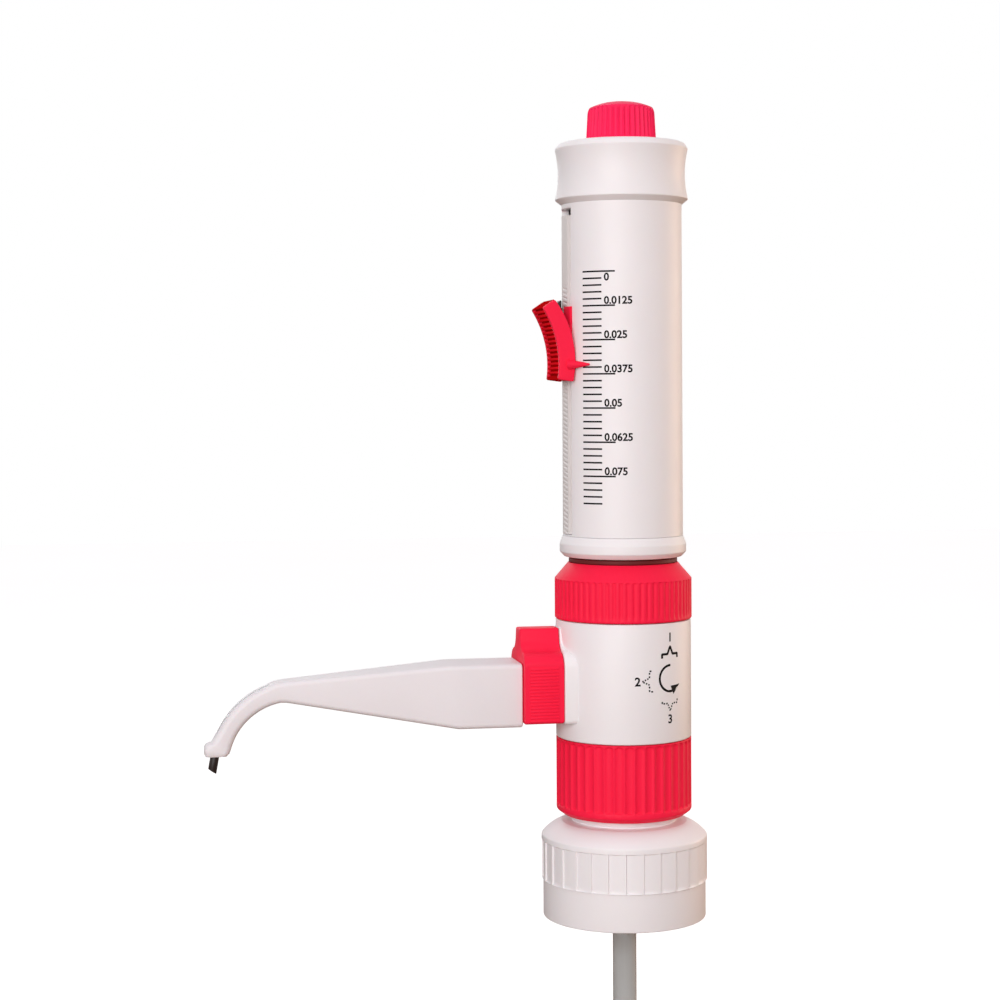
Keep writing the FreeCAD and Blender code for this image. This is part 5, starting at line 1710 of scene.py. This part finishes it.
@dataclass
class KnobMarks(Print):
    """Marks of the knob's three positions and of its way of turning, printed on the block."""

    radius: float = 21.9
    angle: float = -60.9
    side_angle: float = -81.3
    centre: float = 78.0
    arrow_centre: float = 78.6
    upper: float = 86.3
    lower: float = 70.65
    number_height: float = 2.7
    arrow_radius: float = 4.15
    solid_width: float = 0.75
    dash_width: float = 0.5
    dash_length: float = 0.5
    dash_gap: float = 0.4
    arrow_sweep: tuple[int, int, int] = (90, 291, 10)
    numbers: tuple[tuple[str, float, float], ...] = (
        ("1", -60.9, 90.3),
        ("2", -91.5, 76.7),
        ("3", -60.9, 64.4),
    )

    def symbol(self, turned: float) -> list[Point]:
        """Draw the middle line of the knob's symbol.

        Args:
            turned: Angle in degrees from its upright place.

        Returns:
            Its flat points.
        """
        points = [(-3.25, -1.2), (-3.25, 0.0), (-1.1, 0.0), (0.0, 2.4), (1.1, 0.0), (3.25, 0.0), (3.25, -1.2)]
        spin = Matrix.Rotation(math.radians(turned), 2)
        return [tuple(spin @ Vector(point)) for point in points]

    def dashed(self, points: Sequence[Point], dash: float, gap: float) -> list[list[Point]]:
        """Cut a middle line into dashes.

        Args:
            points: The whole line.
            dash: Length of a dash.
            gap: Length of a gap.

        Returns:
            The dashes.
        """
        found = []
        for start, end in zip(points, points[1:]):
            first = Vector(start)
            last = Vector(end)
            length = (last - first).length
            count = max(1, round(length / (dash + gap)))
            for index in range(count):
                begin = first.lerp(last, index / count)
                finish = first.lerp(last, (index + dash / (dash + gap)) / count)
                found.append([tuple(begin), tuple(finish)])
        return found

    def build(self) -> None:
        """Print the symbols, the arrow and the numbers of the positions."""
        marks = Solid("printed_knob_marks")
        self.stroke(marks, self.symbol(0), self.solid_width, self.radius, self.angle, self.upper)
        for turned, angle, level in ((90, self.side_angle, self.centre), (180, self.angle, self.lower)):
            for dash in self.dashed(self.symbol(turned), self.dash_length, self.dash_gap):
                self.stroke(marks, dash, self.dash_width, self.radius, angle, level)
        arc = [(self.arrow_radius * math.cos(turn), self.arrow_radius * math.sin(turn))
               for turn in map(math.radians, range(*self.arrow_sweep))]
        self.stroke(marks, arc, self.solid_width, self.radius, self.angle, self.arrow_centre)
        self.arrow_head(marks)
        marks.finish(Body.HEAD, INK)
        for number, angle, level in self.numbers:
            self.words(f"printed_position_{number}", number, self.number_height, self.radius, angle, level,
                       Body.HEAD, False)

    def arrow_head(self, solid: Solid) -> None:
        """Add the arrow's head as a thin filled triangle.

        Args:
            solid: The mesh that holds the marks.
        """
        corners = (Vector((4.45, -2.1)), Vector((2.3, -2.3)), Vector((0.2, -2.45)), Vector((0.85, -3.8)),
                   Vector((1.45, -5.1)), Vector((2.95, -3.6)))
        made = []
        for depth in (-self.thickness, self.thickness * 1.4):
            ring = [self.wrap(Vector((c.x, c.y, depth)), self.radius, self.angle, self.arrow_centre)
                    for c in corners]
            made.append(solid.ring(ring))
        bmesh.ops.bridge_loops(solid.bm, edges=made[0] + made[1])
        for loop in made:
            bmesh.ops.contextual_create(solid.bm, geom=loop)


class InnerParts:
    """CAD nodes that keep their own solids, with the finish of each."""

    FINISHES = {
        "adapter_gasket": SEAL, "neck_seal": SEAL, "inlet_valve_body": FLUOROPOLYMER,
        "inlet_cage": FLUOROPOLYMER, "inlet_ball": BALL_GLASS, "inlet_oring": DARK_RUBBER,
        "filling_tube": CLEAR_TUBE, "telescopic_tube": CLEAR_TUBE, "return_tube": CLEAR_TUBE,
        "discharge_stem": FLUOROPOLYMER, "ball_stop": FLUOROPOLYMER, "discharge_ball": BALL_GLASS,
        "valve_rotor": FLUOROPOLYMER, "cylinder_housing": HOUSING,
        "stroke_stop_ring": DARK_RUBBER, "glass_cylinder": CYLINDER_GLASS, "cylinder_seal": SEAL,
        "centring_ring": HOUSING, "piston_head": FLUOROPOLYMER, "piston_rod": STEEL, "rod_coupling": HOUSING,
        "guide_bush": SEAL, "lever_pin": STEEL,
    }

    def build(self) -> None:
        """Dress every node that is shown as it is."""
        for node, finish in self.FINISHES.items():
            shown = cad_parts[node]
            shown.data.materials.clear()
            shown.data.materials.append(Finishes.of(finish))
            LOG.info("%s keeps its solid with %s", node, finish.name)


@dataclass
class Studio:
    """Camera, lamps, pale floor and white surroundings."""

    scale: float = 0.325
    distance: float = 0.6825
    focal_pixels: float = 2100.0
    image: float = 1000.0
    horizon: float = 395.0
    foot_row: float = 913.6
    azimuth: float = -10.0
    side_offset: float = 0.0397
    roll: float = -0.254
    floor_gap: float = 0.002
    floor_bounce: Point = (0.24, 0.17, 0.13, 1.0)
    cool: Point = (0.62, 0.62, 0.64, 1.0)
    dim: Point = (0.24, 0.23, 0.24, 1.0)
    warm: Point = (0.40, 0.26, 0.18, 1.0)

    def build(self) -> None:
        """Set up everything around the object."""
        self.place_camera()
        self.place_lamps()
        self.lay_floor()
        self.light_world()
        bpy.context.scene.view_settings.view_transform = "Standard"

    def place_camera(self) -> None:
        """Put the camera where the photograph was taken."""
        angle = math.radians(self.azimuth)
        forward = Vector((-math.sin(angle), math.cos(angle), 0.0))
        right = Vector((math.cos(angle), math.sin(angle), 0.0))
        height = (self.foot_row - self.horizon) * self.scale * MM
        lens = bpy.data.cameras.new("camera")
        lens.sensor_width = 36.0
        lens.lens = lens.sensor_width * self.focal_pixels / self.image
        lens.shift_y = (self.horizon - self.image / 2) / self.image
        lens.clip_start = 0.02
        camera = bpy.data.objects.new("camera", lens)
        camera.location = -forward * self.distance - right * self.side_offset + Vector((0, 0, height))
        level = forward.to_track_quat("-Z", "Y").to_matrix().to_4x4()
        camera.rotation_euler = (level @ Matrix.Rotation(math.radians(self.roll), 4, "Z")).to_euler()
        bpy.context.scene.collection.objects.link(camera)
        bpy.context.scene.camera = camera

    def place_lamps(self) -> None:
        """Hang soft lamps at the front, top and back, and a warm one at the right."""
        aim = Vector((-0.03, 0.0, 0.12))
        for name, away, size, power, colour in (
            ("key_lamp", (-0.65, -1.1, 0.2), 0.9, 10.3, (1.0, 0.99, 0.995)),
            ("front_lamp", (0.0, -1.2, 0.3), 0.7, 2.0, (1.0, 0.98, 0.975)),
            ("top_lamp", (-0.05, 0.0, 1.2), 0.6, 0.9, (0.99, 0.985, 1.0)),
            ("back_lamp", (-0.3, 1.1, 0.6), 0.9, 1.8, (1.0, 1.0, 1.0)),
            ("warm_lamp", (1.0, 0.25, 0.05), 0.6, 4.2, (1.0, 0.72, 0.52)),
        ):
            lamp = bpy.data.lights.new(name, "AREA")
            lamp.size = size
            lamp.energy = power
            lamp.color = colour
            holder = bpy.data.objects.new(name, lamp)
            holder.location = aim + Vector(away)
            holder.rotation_euler = (-Vector(away)).to_track_quat("-Z", "Y").to_euler()
            bpy.context.scene.collection.objects.link(holder)

    def lay_floor(self) -> None:
        """Lay the floor under the lowest piece."""
        shape = bmesh.new()
        bmesh.ops.create_grid(shape, x_segments=8, y_segments=8, size=4.0)
        mesh = bpy.data.meshes.new("floor")
        level = CAD_BOX[0].z - self.floor_gap
        bmesh.ops.translate(shape, vec=(0, 0, level), verts=shape.verts)
        shape.to_mesh(mesh)
        shape.free()
        floor = bpy.data.objects.new("floor", mesh)
        bpy.context.scene.collection.objects.link(floor)
        graph = ShaderGraph("floor")
        tone = graph.mix(graph.noise(3, 2), (0.86, 0.86, 0.86, 1), (0.83, 0.83, 0.83, 1))
        matt = graph.node("ShaderNodeBsdfDiffuse", inputs={"Color": tone})
        dark = graph.node("ShaderNodeBsdfDiffuse", inputs={"Color": self.floor_bounce})
        seen = graph.node("ShaderNodeLightPath", output="Is Camera Ray")
        glow = graph.node("ShaderNodeEmission", inputs={"Color": (1, 1, 1, 1), "Strength": 0.55})
        pale = graph.node("ShaderNodeAddShader", inputs={0: matt, 1: glow})
        shown = graph.node("ShaderNodeMixShader", inputs={0: seen, 1: dark, 2: pale})
        mesh.materials.append(graph.close(shown))

    def light_world(self) -> None:
        """Make the world white where it is seen, else pale above, dim left, and warm right and below."""
        world = bpy.data.worlds.new("surroundings")
        world.use_nodes = True
        bpy.context.scene.world = world
        graph = ShaderGraph.of_tree(world.node_tree)
        path = [graph.node("ShaderNodeLightPath", output=name)
                for name in ("Is Camera Ray", "Is Glossy Ray", "Is Transmission Ray")]
        seen = graph.clamped("ADD", path[0] + path[1], path[2])
        way = graph.node("ShaderNodeTexCoord", output="Generated")
        east = graph.node("ShaderNodeSeparateXYZ", inputs={0: way}, output="X")
        up = graph.node("ShaderNodeSeparateXYZ", inputs={0: way}, output="Z")
        share = graph.clamped("ADD", east * 0.38 + 0.32, up * -0.42)
        west = graph.clamped("MULTIPLY", east, -0.8)
        shade = graph.mix(share, graph.mix(west, self.cool, self.dim), self.warm)
        colour = graph.mix(seen, shade, (1.0, 1.0, 1.0, 1.0))
        background = graph.node("ShaderNodeBackground", inputs={"Color": colour, "Strength": 1.0})
        graph.node("ShaderNodeOutputWorld", inputs={"Surface": background})


def main() -> None:
    """Build the studio and every piece."""
    logging.basicConfig(level=logging.INFO, format="%(message)s")
    Studio().build()
    for assembly in (
        BottleAdapter(), MountingNut(), ValveBlock(), ValveKnob(), NozzleArm(), UnionNut(), Trim(),
        Sleeve(), ToothRack(), VolumeScale(), KnobMarks(), VolumeSlider(), ThumbLever(), CalibrationKnob(),
        InnerParts(),
    ):
        assembly.build()
        LOG.info("%s built", type(assembly).__name__)


if __name__ == "__main__":
    main()
